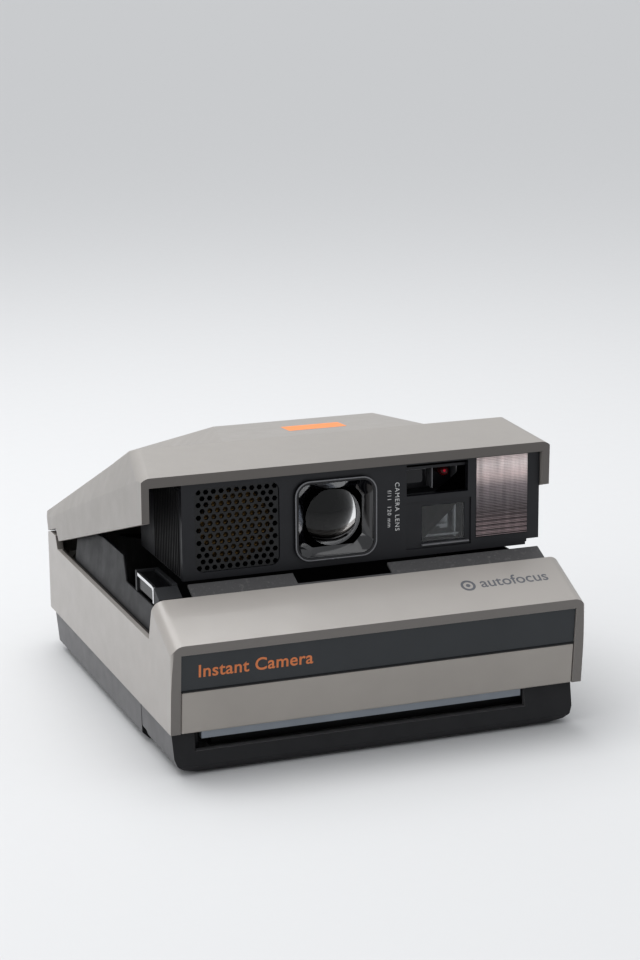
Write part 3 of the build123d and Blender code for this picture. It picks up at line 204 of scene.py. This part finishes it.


def flash_lens():
    """Pinkish ribbed flash window, painted lighter towards the top as a highlight, with painted
    shade in dark lines between ribs below.
    """
    mat, tree, bsdf, coord = new_material("flash_lens")
    split = tree.nodes.new("ShaderNodeSeparateXYZ")
    tree.links.new(coord.outputs["Object"], split.inputs[0])
    height = remap(tree, split.outputs["Z"], 0.0618, 0.0898, 0.0, 1.0)  # foot to head
    # Painted highlight and shade: the colour follows height, dark low down and brightest near the
    # top.
    body = ramp(
        tree,
        height,
        [
            (0.0, (0.34, 0.26, 0.265)), (0.16, (0.30, 0.23, 0.235)), (0.30, (0.17, 0.14, 0.145)),
            (0.45, (0.22, 0.19, 0.20)), (0.62, (0.36, 0.31, 0.32)), (0.76, (0.85, 0.72, 0.71)),
            (0.90, (1.0, 0.90, 0.89)), (1.0, (0.92, 0.80, 0.79)),
        ],
    )
    streaks = noise(tree, coord, 0.0022, 3, stretch=(1.0, 1.0, 0.10))
    tone = remap(tree, streaks.outputs[0], 0.3, 0.7, 0.76, 1.18)
    body = mixed(tree, 1.0, body, tone, "MULTIPLY")
    # Painted shade: dark lines between the ribs, only on the lower part.
    rib_shade_lines = tree.nodes.new("ShaderNodeMath")
    rib_shade_lines.operation = "PINGPONG"
    tree.links.new(split.outputs["Z"], rib_shade_lines.inputs[0])
    rib_shade_lines.inputs[1].default_value = SHADE_LINE_PITCH
    dark = remap(tree, rib_shade_lines.outputs[0], 0.0, SHADE_LINE_WIDTH, 1.0, 0.0)
    low = remap(tree, height, 0.22, 0.42, 1.0, 0.0)
    amount = tree.nodes.new("ShaderNodeMath")
    amount.operation = "MULTIPLY"
    tree.links.new(dark, amount.inputs[0])
    tree.links.new(low, amount.inputs[1])
    body = mixed(tree, amount.outputs[0], body, (0.035, 0.022, 0.025))
    tree.links.new(body, bsdf.inputs["Base Color"])
    bsdf.inputs["Roughness"].default_value = 0.16
    bsdf.inputs["Transmission Weight"].default_value = 0.12
    bsdf.inputs["Coat Weight"].default_value = 0.4
    bsdf.inputs["Coat Roughness"].default_value = 0.06
    return mat


# The front colours of taupe, taupe_top and base are painted shade on the faces that look forwards.
M = {
    "taupe": plastic(
        "taupe", (0.365, 0.342, 0.322), 0.34, grain=0.10, grain_size=0.00035, mottle=0.02, coat=0.2,
        front=(0.17, 0.157, 0.147),
    ),
    "taupe_top": plastic(
        "taupe_top", (0.315, 0.297, 0.280), 0.40, grain=0.10, grain_size=0.00035, mottle=0.02,
        front=(0.135, 0.124, 0.116),
    ),
    "taupe_door": plastic(
        "taupe_door", (0.35, 0.325, 0.30), 0.40, grain=0.08, grain_size=0.00035, mottle=0.03
    ),
    "dark": plastic("dark", (0.030, 0.031, 0.034), 0.52, grain=0.45, grain_size=0.0007),
    "base": plastic(
        "base", (0.15, 0.148, 0.152), 0.50, grain=0.4, grain_size=0.0008,
        front=(0.008, 0.008, 0.010),
    ),
    "band": plastic("band", (0.030, 0.034, 0.038), 0.38, grain=0.10, mottle=0.05),
    "deck": plastic(
        "deck", (0.098, 0.096, 0.098), 0.62, grain=0.9, grain_size=0.0009, dust=0.30,
        flecks=(0.14, 0.138, 0.14),
    ),
    "panel": plastic("panel", (0.012, 0.0125, 0.016), 0.42, grain=0.14, grain_size=0.0006),
    "grille": plastic("grille", (0.009, 0.0095, 0.011), 0.36, grain=0.1),
    "black": plastic("black", (0.010, 0.010, 0.011), 0.6, grain=0.2),
    "gloss": plastic("gloss", (0.006, 0.006, 0.008), 0.14, coat=0.15, mottle=0.02, specular=0.45),
    "liner": plastic("liner", (0.013, 0.013, 0.015), 0.5, grain=0.2),
    "rubber": plastic("rubber", (0.014, 0.014, 0.015), 0.75, grain=0.5),
    "pale": plastic("pale", (0.30, 0.33, 0.37), 0.4, grain=0.08),
    "gasket": plastic("gasket", (0.035, 0.030, 0.027), 0.5),
    "chrome": plastic("chrome", (0.80, 0.80, 0.81), 0.12, metal=1.0, mottle=0.02),
    "steel": plastic("steel", (0.48, 0.48, 0.49), 0.32, metal=1.0, mottle=0.05),
    "blade": plastic("blade", (0.05, 0.05, 0.055), 0.35, metal=0.8),
    "brass": plastic("brass", (0.60, 0.44, 0.20), 0.3, metal=1.0),
    "gold": plastic("gold", (0.20, 0.13, 0.055), 0.38, metal=1.0, grain=0.8, grain_size=0.0011),
    "nylon": plastic("nylon", (0.70, 0.69, 0.65), 0.4, mottle=0.03),
    "prints": plastic("prints", (0.66, 0.67, 0.68), 0.3, mottle=0.02),
    "board": plastic("board", (0.035, 0.14, 0.07), 0.35, grain=0.3, grain_size=0.002),
    "orange": plastic("orange", (0.60, 0.20, 0.075), 0.5, mottle=0.03),
    "orange_top": plastic("orange_top", (0.80, 0.27, 0.09), 0.5, mottle=0.03),
    "ink_grey": plastic("ink_grey", (0.115, 0.12, 0.135), 0.5, mottle=0.05),
    "ink_white": plastic("ink_white", (0.60, 0.60, 0.60), 0.6, mottle=0.03),
    "mirror": plastic("mirror", (0.85, 0.86, 0.88), 0.03, metal=1.0, mottle=0.01),
    "led": plastic("led", (0.055, 0.003, 0.004), 0.12, specular=0.3),
    "led_core": plastic("led_core", (0.62, 0.02, 0.05), 0.3, specular=0.2),
    "edge": plastic("edge", (0.20, 0.20, 0.21), 0.3, metal=0.3, mottle=0.03),
    # Light grey gloss for the finder's inner parts, partly a painted highlight.
    "glint": plastic("glint", (0.16, 0.165, 0.17), 0.14, mottle=0.5, coat=0.5),
    "lcd": plastic("lcd", (0.30, 0.33, 0.28), 0.3, mottle=0.02),
    "lens_glass": glass("lens_glass", (0.34, 0.38, 0.46), 0.0, 1.5),
    "coated": plastic("coated", (0.010, 0.013, 0.032), 0.07, coat=0.1, mottle=0.0, specular=0.3),
    "funnel": plastic("funnel", (0.006, 0.006, 0.008), 0.09, coat=0.9, mottle=0.02, specular=0.6),
    "button": plastic("button", (0.006, 0.006, 0.007), 0.25, specular=0.3),
    "clear": glass("clear", (0.92, 0.94, 0.95), 0.01, 1.45),
    "flash_lens": flash_lens(),
    "flash_foil": plastic("flash_foil", (0.92, 0.78, 0.79), 0.24, metal=0.85, mottle=0.05),
}

# Edge rounding of the CAD pieces, in mm, and the material of each.
BEVELS = {
    "lower_cover": 0.9, "top_cover": 1.1, "door_panel": 0.5, "door_shell": 0.5,
    "base_shell": 0.7, "front_band": 0.25, "deck_cover": 0.25, "front_chassis": 0.25,
    "optics_panel": 0.2, "lens_bezel": 0.3, "control_panel": 0.2, "shutter_button": 0.5,
    "door_latch": 0.2, "fold_latch": 0.2, "feet": 0.3, "lens_housing": 0.4, "eyepiece": 0.4,
    "side_liners": 0.2, "exposure_slider": 0.3, "focus_switch": 0.3, "timer_switch": 0.3,
    "flash_switch": 0.3, "exit_strip": 0.2, "film_pack": 0.4, "button_trim": 0.1,
}
LOOKS = {
    "lower_cover": "taupe", "top_cover": "taupe_top", "door_panel": "taupe_door",
    "front_band": "band", "front_chassis": "dark", "side_liners": "liner",
    "base_shell": "base", "door_shell": "base", "feet": "rubber", "base_screws": "steel",
    "tripod_bush": "brass", "film_frame": "black", "film_pack": "black",
    "film_prints": "prints", "bellows": "rubber", "gear_bracket": "steel", "motor": "steel",
    "motor_pinion": "brass", "rear_idler": "nylon", "front_idler": "nylon",
    "lower_roller": "rubber", "upper_roller": "rubber", "exit_strip": "pale",
    "door_latch": "dark", "fold_latch": "dark", "control_panel": "dark",
    "display_window": "lcd", "focus_switch": "gloss", "timer_switch": "gloss",
    "flash_switch": "gloss", "exposure_slider": "gloss", "shutter_button": "button",
    "button_trim": "chrome", "deck_cover": "deck", "pivot_pins": "steel", "eyepiece": "black",
    "optics_panel": "panel", "sonar_grille": "grille", "sonar_transducer": "gold",
    "lens_bezel": "gloss", "lens_barrel": "black", "front_lens": "lens_glass",
    "lens_housing": "dark", "shutter_plate": "black", "shutter_blade_left": "blade",
    "shutter_blade_right": "blade", "focus_arm": "black", "finder_window": "clear",
    "finder_tube": "black", "status_light": "led", "light_cell": "gloss",
    "flash_window": "flash_lens", "flash_reflector": "flash_foil", "flash_tube": "clear",
    "flash_capacitor": "steel", "mirror_carrier": "black", "mirror": "mirror",
    "struts": "steel", "circuit_board": "board", "film_picker": "steel",
}


def dress(node, look):
    """Give a CAD piece its material and, where BEVELS names it, rounded edges."""
    node.data.materials.clear()
    node.data.materials.append(M[look])
    width = BEVELS.get(node.name)
    if not width:
        return
    for polygon in node.data.polygons:
        polygon.use_smooth = True
    if "custom_normal" in node.data.attributes:
        node.data.attributes.remove(node.data.attributes["custom_normal"])
    weld = node.modifiers.new("weld", "WELD")
    weld.merge_threshold = 0.000003
    flat = node.modifiers.new("flat", "DECIMATE")
    flat.decimate_type = "DISSOLVE"
    flat.angle_limit = math.radians(0.6)
    bevel = node.modifiers.new("bevel", "BEVEL")
    bevel.width = width * MM
    bevel.segments = 3
    bevel.limit_method = "ANGLE"
    bevel.angle_limit = math.radians(24)
    bevel.harden_normals = True
    bevel.miter_outer = "MITER_ARC"
    normal = node.modifiers.new("normal", "WEIGHTED_NORMAL")
    normal.keep_sharp = True
    normal.weight = 80


for node_name, look in LOOKS.items():
    dress(nodes[node_name], look)


# ---------------------------------------------------------------- making pieces


def add_piece(name, mesh, look, body, replaces=(), smooth=False):
    """Add a mesh as a piece that rides on a body, in place of the CAD pieces it replaces."""
    obj = bpy.data.objects.new(name, mesh)
    bpy.context.scene.collection.objects.link(obj)
    mesh.materials.append(M[look])
    if smooth:
        for polygon in mesh.polygons:
            polygon.use_smooth = True
    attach(obj, body)
    if replaces:
        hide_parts(*replaces)


def mesh_of(name, vertices, faces):
    """Mesh from lists of points and faces."""
    mesh = bpy.data.meshes.new(name)
    mesh.from_pydata([tuple(v) for v in vertices], [], faces)
    mesh.update()
    return mesh


BOX_FACES = (
    (0, 2, 3, 1), (4, 5, 7, 6), (0, 1, 5, 4), (2, 6, 7, 3), (0, 4, 6, 2), (1, 3, 7, 5),
)


def block_mesh(name, boxes):
    """Several boxes, each from (x, depth, z) to (x, depth, z), as one mesh."""
    vertices, faces = [], []
    for low, high in boxes:
        n = len(vertices)
        for i in range(8):
            pick = [(high if i >> k & 1 else low)[k] for k in range(3)]
            vertices.append(P(*pick))
        for f in BOX_FACES:
            faces.append([n + k for k in f])
    return mesh_of(name, vertices, faces)


def lathe_mesh(name, profile, x, z, steps=72):
    """Surface of revolution about the line through (x, z) along depth, from (radius, depth)."""
    vertices, faces = [], []
    for r, d in profile:
        for i in range(steps):
            a = 2 * math.pi * i / steps
            vertices.append(P(x + r * math.cos(a), d, z + r * math.sin(a)))
    for k in range(len(profile) - 1):
        for i in range(steps):
            j = (i + 1) % steps
            faces.append([k * steps + i, k * steps + j, (k + 1) * steps + j, (k + 1) * steps + i])
    return mesh_of(name, vertices, faces)


def rounded(width, height, radius, per_corner=10):
    """Points of a rounded rectangle, anticlockwise from the right, as (x, z)."""
    points = []
    for cx, cz, start in (
        (width / 2 - radius, height / 2 - radius, 0),
        (-width / 2 + radius, height / 2 - radius, 90),
        (-width / 2 + radius, -height / 2 + radius, 180),
        (width / 2 - radius, -height / 2 + radius, 270),
    ):
        for i in range(per_corner + 1):
            a = math.radians(start + 90 * i / per_corner)
            points.append((cx + radius * math.cos(a), cz + radius * math.sin(a)))
    return points


def loft_mesh(name, loops):
    """Skin over loops, which are lists of the same number of points."""
    vertices = [p for loop in loops for p in loop]
    n = len(loops[0])
    faces = []
    for k in range(len(loops) - 1):
        for i in range(n):
            j = (i + 1) % n
            faces.append([k * n + i, k * n + j, (k + 1) * n + j, (k + 1) * n + i])
    return mesh_of(name, vertices, faces)


def square_loop(width, height, radius, depth, x, z):
    """Rounded rectangle about (x, z), at one depth."""
    return [P(x + a, depth, z + b) for a, b in rounded(width, height, radius)]


def circle_loop(radius, depth, x, z, like):
    """Circle with its points on the same bearings as a square loop's."""
    points = []
    for a, b in like:
        length = math.hypot(a, b)
        points.append(P(x + radius * a / length, depth, z + radius * b / length))
    return points


def lettering(name, text, size, place, right, up, look, body, spacing=1.0, weight=0.0):
    """Raised print, a few hundredths of a millimetre thick, standing on a surface."""
    curve = bpy.data.curves.new(name, "FONT")
    curve.body = text
    curve.size = size * MM
    curve.extrude = 0.02 * MM
    curve.offset = weight * MM
    curve.align_y = "CENTER"
    curve.space_character = spacing
    curve.resolution_u = 6
    obj = bpy.data.objects.new(name + "_curve", curve)
    bpy.context.scene.collection.objects.link(obj)
    bpy.context.view_layer.update()
    evaluated = obj.evaluated_get(bpy.context.evaluated_depsgraph_get())
    mesh = bpy.data.meshes.new_from_object(evaluated)
    bpy.data.objects.remove(obj)
    right, up = Vector(right).normalized(), Vector(up).normalized()
    matrix = Matrix((right, up, right.cross(up))).transposed().to_4x4()
    mesh.transform(Matrix.Translation(place) @ matrix)
    mesh.name = name
    add_piece(name, mesh, look, body)


def flat_shape(name, outlines, place, right, up, look, body, thick=0.03):
    """Printed shapes: outlines in mm on the plane through place."""
    right, up = Vector(right).normalized(), Vector(up).normalized()
    out = right.cross(up)
    vertices, faces = [], []
    for outline in outlines:
        n = len(vertices)
        count = len(outline)
        for lift in (0.0, thick):
            for a, b in outline:
                vertices.append(place + (right * a + up * b + out * lift) * MM)
        faces.append([n + count + i for i in range(count)])
        for i in range(count):
            j = (i + 1) % count
            faces.append([n + i, n + j, n + count + j, n + count + i])
    add_piece(name, mesh_of(name, vertices, faces), look, body)


def bar(cx, cz, width, height):
    """Outline of a rectangle about (cx, cz)."""
    return [
        (cx - width / 2, cz - height / 2),
        (cx + width / 2, cz - height / 2),
        (cx + width / 2, cz + height / 2),
        (cx - width / 2, cz + height / 2),
    ]


def arc(radius, steps):
    """Points of a circle, anticlockwise from the right and back to the first."""
    angles = [2 * math.pi * i / steps for i in range(steps + 1)]
    return [(radius * math.cos(a), radius * math.sin(a)) for a in angles]


X, Y, Z = Vector((1, 0, 0)), Vector((0, 1, 0)), Vector((0, 0, 1))
UPPER, BASE, DOOR = "upper_half", "camera_base", "film_door"
LENS_X, LENS_Z = -5.3, 73.7  # centre of the lens

# ---------------------------------------------------------------- print on the outside

FRONT_LEAN, FRONT_RISE = 2.9, 30.3  # the front face leans out by this much over this height
EDGE_Z = 45.7  # edge where the front face meets the slope
SLOPE_TOP_Z, SLOPE_RUN = 55.2, 20.3
BAND_Z, BAND_STEP = 36.2, 0.57  # middle of the band, and how far it is set back

lean = math.atan(FRONT_LEAN / FRONT_RISE)
front_up = Vector((0, -math.sin(lean), math.cos(lean)))
lettering(
    "band_lettering", "Instant Camera", 6.0,
    P(-64.0, FRONT_LEAN * (EDGE_Z - BAND_Z) / FRONT_RISE + BAND_STEP, BAND_Z),
    X, front_up, "orange", BASE, 1.05, 0.10,
)
slope_angle = math.atan2(SLOPE_TOP_Z - EDGE_Z, SLOPE_RUN)
slope_up = Vector((0, math.cos(slope_angle), math.sin(slope_angle)))


def on_slope(x, run):
    """Point on the front slope, run mm up it from the front edge."""
    return P(x, 0, EDGE_Z) + slope_up * run * MM


lettering(
    "slope_lettering", "autofocus", 6.4, on_slope(39.0, 13.2), X, slope_up, "ink_grey", BASE,
    1.0, 0.06,
)
ring = arc(2.6, 32) + arc(1.7, 32)[::-1]
dot = arc(0.8, 20)[:-1]
flat_shape("slope_mark", [ring, dot], on_slope(34.6, 12.9), X, slope_up, "ink_grey", BASE)

# ---------------------------------------------------------------- lens


def ring_loops(sizes, x, z):
    """Rounded-square loops from (width, height, radius, depth) rows."""
    return [square_loop(w, h, radius, depth, x, z) for w, h, radius, depth in sizes]


# Painted highlight: a thin light grey ring along the bezel rim.
add_piece(
    "bezel_line",
    loft_mesh(
        "bezel_line",
        ring_loops(
            [
                (29.3, 27.6, 5.3, 30.22), (29.0, 27.3, 5.2, 30.05), (28.55, 26.85, 5.0, 30.05),
                (28.3, 26.6, 4.9, 30.22),
            ],
            LENS_X,
            LENS_Z,
        ),
    ),
    "edge", UPPER, smooth=True,
)
funnel_shape = rounded(26.9, 25.2, 4.2)  # the square mouth narrows to the round barrel
funnel = ring_loops(
    [(27.0, 25.3, 4.3, 30.7), (26.6, 24.9, 4.2, 30.9), (25.8, 24.2, 4.6, 31.6)], LENS_X, LENS_Z
)
for radius, depth in ((12.35, 33.4), (11.95, 34.4), (11.9, 46.0)):
    funnel.append(circle_loop(radius, depth, LENS_X, LENS_Z, funnel_shape))
add_piece(
    "lens_funnel", loft_mesh("lens_funnel", funnel), "funnel", UPPER,
    replaces=("lens_barrel",), smooth=True
)


def dome(front, rim, radius, steps=14):
    """Profile of a lens face that bulges towards the viewer, from its middle to its edge."""
    sag = rim - front
    ball = (radius * radius + sag * sag) / (2 * sag)
    reach = math.asin(radius / ball)
    rows = []
    for i in range(steps + 1):
        a = reach * i / steps
        rows.append((max(ball * math.sin(a), 0.02), front + ball * (1 - math.cos(a))))
    return rows


outer_face = dome(30.9, 34.9, 11.8)
add_piece(
    "lens_dome",
    lathe_mesh("lens_dome", outer_face + [(11.8, 36.4), (9.5, 36.3), (0.02, 35.9)], LENS_X, LENS_Z),
    "lens_glass", UPPER, replaces=("front_lens",), smooth=True,
)
add_piece(
    "inner_lens",
    lathe_mesh("inner_lens", dome(37.6, 41.2, 9.5) + [(9.5, 42.4), (0.02, 42.4)], LENS_X, LENS_Z),
    "coated", UPPER, smooth=True,
)
steps_in = [
    (11.85, 37.0), (11.1, 37.2), (10.6, 37.3), (10.6, 39.0), (10.1, 39.1), (10.1, 42.0),
    (9.4, 42.1),
]
add_piece(
    "lens_baffle", lathe_mesh("lens_baffle", steps_in, LENS_X, LENS_Z), "gloss", UPPER
)
LENS_PRINT = 31.47  # depth of the print beside the lens
for line, x, z, size in (("CAMERA LENS", 17.05, 84.0, 2.25), ("f/11  120 mm", 14.2, 81.4, 1.95)):
    lettering(
        "lens_text_" + str(int(x)), line, size, P(x, LENS_PRINT, z),
        -Z, X, "ink_white", UPPER, 1.22, 0.02,
    )

# ---------------------------------------------------------------- finder, lamp and light cell

add_piece(
    "lamp_dome",
    lathe_mesh(
        "lamp_dome", dome(33.7, 34.7, 1.65) + [(1.7, 36.0), (1.7, 40.4)], 35.8, 85.5, steps=32
    ),
    "led", UPPER, replaces=("status_light",), smooth=True,
)
add_piece(
    "lamp_core",
    lathe_mesh("lamp_core", dome(33.62, 34.0, 0.62), 35.55, 85.75, steps=24),
    "led_core", UPPER, smooth=True,
)
# Painted highlight: the upper pale strip stands for light along the recess's top edge.
add_piece(
    "recess_trim",
    block_mesh(
        "recess_trim",
        [
            ((21.4, 33.8, 87.1), (28.6, 36.8, 87.5)),
            ((31.2, 34.8, 79.9), (31.5, 39.6, 88.0)),
            ((40.2, 34.8, 79.9), (40.5, 39.6, 88.0)),
        ],
    ),
    "edge", UPPER,
)
# The finder's curved floor plate, lens ring and frame bars are light grey glossy pieces: partly the
# real parts, partly painted highlights for the glints inside the finder.
FINDER_STEPS = 8
finder_vertices, finder_faces = [], []
for i in range(FINDER_STEPS + 1):
    a = math.radians(90 * i / FINDER_STEPS)
    depth, z = 35.2 + 9.0 * math.sin(a), 62.6 + 6.2 * (1 - math.cos(a))
    finder_vertices += [P(27.4, depth, z), P(41.2, depth, z)]
    if i:
        finder_faces.append([2 * i - 2, 2 * i - 1, 2 * i + 1, 2 * i])
add_piece(
    "finder_step", mesh_of("finder_step", finder_vertices, finder_faces), "glint", UPPER,
    smooth=True,
)
add_piece(
    "finder_glint_rings",
    block_mesh(
        "finder_glint_rings",
        [
            ((34.6, 36.0, 65.2), (37.4, 36.6, 71.6)),
            ((39.2, 34.6, 62.4), (40.0, 36.2, 73.8)),
            ((27.4, 34.4, 66.4), (36.8, 35.0, 67.2)),
            ((27.6, 34.0, 63.2), (40.8, 34.5, 63.9)),
        ],
    ),
    "glint", UPPER,
)
add_piece(
    "finder_sill",
    block_mesh("finder_sill", [((26.2, 31.0, 60.9), (43.6, 32.2, 61.4))]),
    "edge", UPPER,
)

# ---------------------------------------------------------------- flash window

FLASH_LEFT, FLASH_RIGHT = 46.4, 65.6
FLASH_BACK, RIB_VALLEY, RIB_CREST = 33.3, 31.62, 31.36  # depths
RIB_PITCH = 0.56

rib_profile = []
z = FLASH_FOOT
while z < FLASH_HEAD - 0.05:
    rib_profile += [(z, RIB_VALLEY), (z + 0.12, RIB_CREST), (z + 0.42, RIB_CREST)]
    z += RIB_PITCH
rib_profile.append((FLASH_HEAD, RIB_VALLEY))
flash_vertices, flash_faces = [], []
for k, (z, depth) in enumerate(rib_profile):
    flash_vertices += [P(FLASH_LEFT, depth, z), P(FLASH_RIGHT, depth, z)]
    if k:
        flash_faces.append([2 * k - 2, 2 * k - 1, 2 * k + 1, 2 * k])
n = len(flash_vertices)
for z in (FLASH_FOOT, FLASH_HEAD):
    flash_vertices += [P(FLASH_LEFT, FLASH_BACK, z), P(FLASH_RIGHT, FLASH_BACK, z)]
left_side = [2 * k for k in range(len(rib_profile))]
flash_faces += [
    [n, n + 1, 1, 0], [n + 2, n - 2, n - 1, n + 3], [n, n + 2, n + 3, n + 1],
    [n] + left_side + [n + 2], [n + 1, n + 3] + [i + 1 for i in reversed(left_side)],
]
add_piece(
    "flash_ribs", mesh_of("flash_ribs", flash_vertices, flash_faces), "flash_lens", UPPER,
    replaces=("flash_window",),
)

# ---------------------------------------------------------------- hump mark, ribs, rear print

# A ray from above finds the point of the open top cover that carries the mark.
cover = nodes["top_cover"]
ray_start = cover.matrix_world.inverted() @ P(1.1, 68.0, 160)
_, hump_point, hump_normal, _ = cover.ray_cast(ray_start, -Z)
hump_up = (Y - hump_normal * Y.dot(hump_normal)).normalized()
flat_shape(
    "hump_mark", [bar(0, 0.6, 21.2, 9.0)], cover.matrix_world @ hump_point, X, hump_up,
    "orange_top", UPPER,
)
add_piece(
    "housing_ribs",
    block_mesh(
        "housing_ribs",
        [((-59.5, 34.6 + 1.9 * k, 58.4), (-58.9, 35.3 + 1.9 * k, 87.6)) for k in range(15)],
    ),
    "black", UPPER,
)
REAR_DEPTH, DISPLAY_DEPTH = 164.5, 164.42
REAR_Z = 30.0  # height that the rear print is measured from
STROKE = 0.42
icons = []
for x in (-6.0, 4.0, 14.0):
    icons += [bar(-x, 37.0 - REAR_Z, 2.2, 0.5), bar(-x, 23.4 - REAR_Z, 1.0, 0.5)]
for k in range(5):
    icons.append(bar(-29 + (k - 2) * 2.5, 34.0 - REAR_Z, 0.35, 1.4 if k == 2 else 0.8))
for x, width, height in ((-34.2, 1.6, 0.4), (-23.8, 1.6, 0.4), (-23.8, 0.4, 1.6)):
    icons.append(bar(x, 26.2 - REAR_Z, width, height))
flat_shape("rear_icons", icons, P(0, REAR_DEPTH, REAR_Z), -X, Z, "ink_white", BASE)
digits = [bar(24.4, 1.3, STROKE, 2.1), bar(24.4, -1.3, STROKE, 2.1)]
digits += [bar(27.4, 2.6, 1.7, STROKE), bar(27.4, -2.6, 1.7, STROKE)]
for dx in (1.1, -1.1):
    digits += [bar(27.4 + dx, 1.3, STROKE, 2.1), bar(27.4 + dx, -1.3, STROKE, 2.1)]
flat_shape(
    "display_digits", digits, P(0, DISPLAY_DEPTH, REAR_Z), -X, Z, "black", BASE,
    thick=0.02,
)

# ---------------------------------------------------------------- exit strip, gaps and liner

add_piece(
    "exit_shield",
    block_mesh("exit_shield", [((-61.0, 8.3, 11.2), (52.8, 11.4, 14.4))]),
    "pale", DOOR, replaces=("exit_strip",),
)
# Painted shade: a black block behind the gap between band and door makes the gap read dark.
add_piece(
    "band_gap_shade", block_mesh("band_gap_shade", [((-69.3, 1.75, 29.64), (69.3, 4.2, 30.1))]), "black",
    BASE,
)
add_piece(
    "rim_gaskets",
    block_mesh(
        "rim_gaskets",
        [
            ((-71.35, 27.0, 41.2), (-70.6, 143.0, 41.42)),
            ((70.6, 41.0, 41.2), (71.35, 143.0, 41.42)),
        ],
    ),
    "gasket", BASE,
)


LINER_FACE, LINER_KNEE = -69.5, 42.0  # the liner's face is upright up to the knee
LINER_SLOPE_IN, LINER_SLOPE_UP = 2.2, 16.0  # and leans in by this much over this height above it


def ribbon(points, width, lift):
    """Thin raised line through (depth, z) points on the left liner's inner face."""
    half = width / 2
    boxes = []
    for (d0, z0), (d1, z1) in zip(points, points[1:]):
        count = max(2, int(math.hypot(d1 - d0, z1 - z0) / 0.35))
        for i in range(count + 1):
            d, z = d0 + (d1 - d0) * i / count, z0 + (z1 - z0) * i / count
            face = LINER_FACE + max(0.0, z - LINER_KNEE) * LINER_SLOPE_IN / LINER_SLOPE_UP
            boxes.append(((face - 0.1, d - half, z - half), (face + lift, d + half, z + half)))
    return boxes


add_piece(
    "liner_outline",
    block_mesh(
        "liner_outline",
        ribbon([(127.0, 43.6), (119.0, 46.4), (103.0, 46.4), (100.0, 41.0)], 0.7, 0.22),
    ),
    "black", BASE,
)
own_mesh(nodes["bellows"])

# ---------------------------------------------------------------- camera, light and stage

SENSOR = 36.0
FOCAL_PIXELS, IMAGE_HEIGHT = 2300.8, 960  # from a perspective fit of the photo's corners

camera_data = bpy.data.cameras.new("camera")
camera_data.sensor_width = SENSOR
camera_data.lens = FOCAL_PIXELS / IMAGE_HEIGHT * SENSOR
camera_data.clip_start, camera_data.clip_end = 0.05, 200.0
camera = bpy.data.objects.new("camera", camera_data)
bpy.context.scene.collection.objects.link(camera)
bpy.context.scene.camera = camera
azimuth, elevation, roll = (math.radians(v) for v in (-20.61, 13.64, -0.46))
distance, shift_x, shift_y = 804.06, 0.21, -33.96
target = P(0, 60, 45)
back = Vector(
    (
        math.sin(azimuth) * math.cos(elevation),
        -math.cos(azimuth) * math.cos(elevation),
        math.sin(elevation),
    )
)
right = Vector((math.cos(azimuth), math.sin(azimuth), 0))
up = back.cross(right)
rolled_right = right * math.cos(roll) + up * math.sin(roll)
rolled_up = up * math.cos(roll) - right * math.sin(roll)
place = target + (rolled_right * -shift_x + rolled_up * -shift_y + back * distance) * MM
rotation = Matrix((rolled_right, rolled_up, back)).transposed().to_4x4()
camera.matrix_world = Matrix.Translation(place) @ rotation

FLOOR_HALF, FLOOR_Z = 30, -0.00002
floor_mat = plastic("floor", (0.63, 0.632, 0.638), 0.85, mottle=0.0, specular=0.2)
floor_mesh = mesh_of(
    "floor",
    [(x * FLOOR_HALF, y * FLOOR_HALF, FLOOR_Z) for x, y in ((-1, -1), (1, -1), (1, 1), (-1, 1))],
    [[0, 1, 2, 3]],
)
floor = bpy.data.objects.new("floor", floor_mesh)
floor_mesh.materials.append(floor_mat)
bpy.context.scene.collection.objects.link(floor)

world = bpy.data.worlds.new("studio")
bpy.context.scene.world = world
world.use_nodes = True
background = world.node_tree.nodes["Background"]
background.inputs["Color"].default_value = (0.96, 0.98, 1.0, 1)
background.inputs["Strength"].default_value = 0.56


def softbox(name, location, aim, size, power):
    """Rectangular white light at a location, turned to its aim."""
    light = bpy.data.lights.new(name, "AREA")
    light.shape = "RECTANGLE"
    light.size, light.size_y = size
    light.energy = power
    obj = bpy.data.objects.new(name, light)
    bpy.context.scene.collection.objects.link(obj)
    obj.location = location
    obj.rotation_mode = "QUATERNION"
    obj.rotation_quaternion = (Vector(aim) - Vector(location)).to_track_quat("-Z", "Y")


sun = bpy.data.lights.new("sky_light", "SUN")
sun.energy = 0.85
sun.angle = math.radians(75)
sky = bpy.data.objects.new("sky_light", sun)
bpy.context.scene.collection.objects.link(sky)
sky.rotation_mode = "QUATERNION"
sky.rotation_quaternion = Vector((0.20, -0.16, -1.0)).to_track_quat("-Z", "Y")
softbox("left_light", (-1.0, -0.15, 0.45), (0, 0, 0.05), (0.6, 0.5), 1.2)
softbox("top_light", (-0.15, 0.30, 0.95), (-0.02, -0.02, 0.05), (0.9, 0.7), 4.6)

scene = bpy.context.scene
scene.view_settings.view_transform = "Standard"
scene.view_settings.look = "Medium High Contrast"
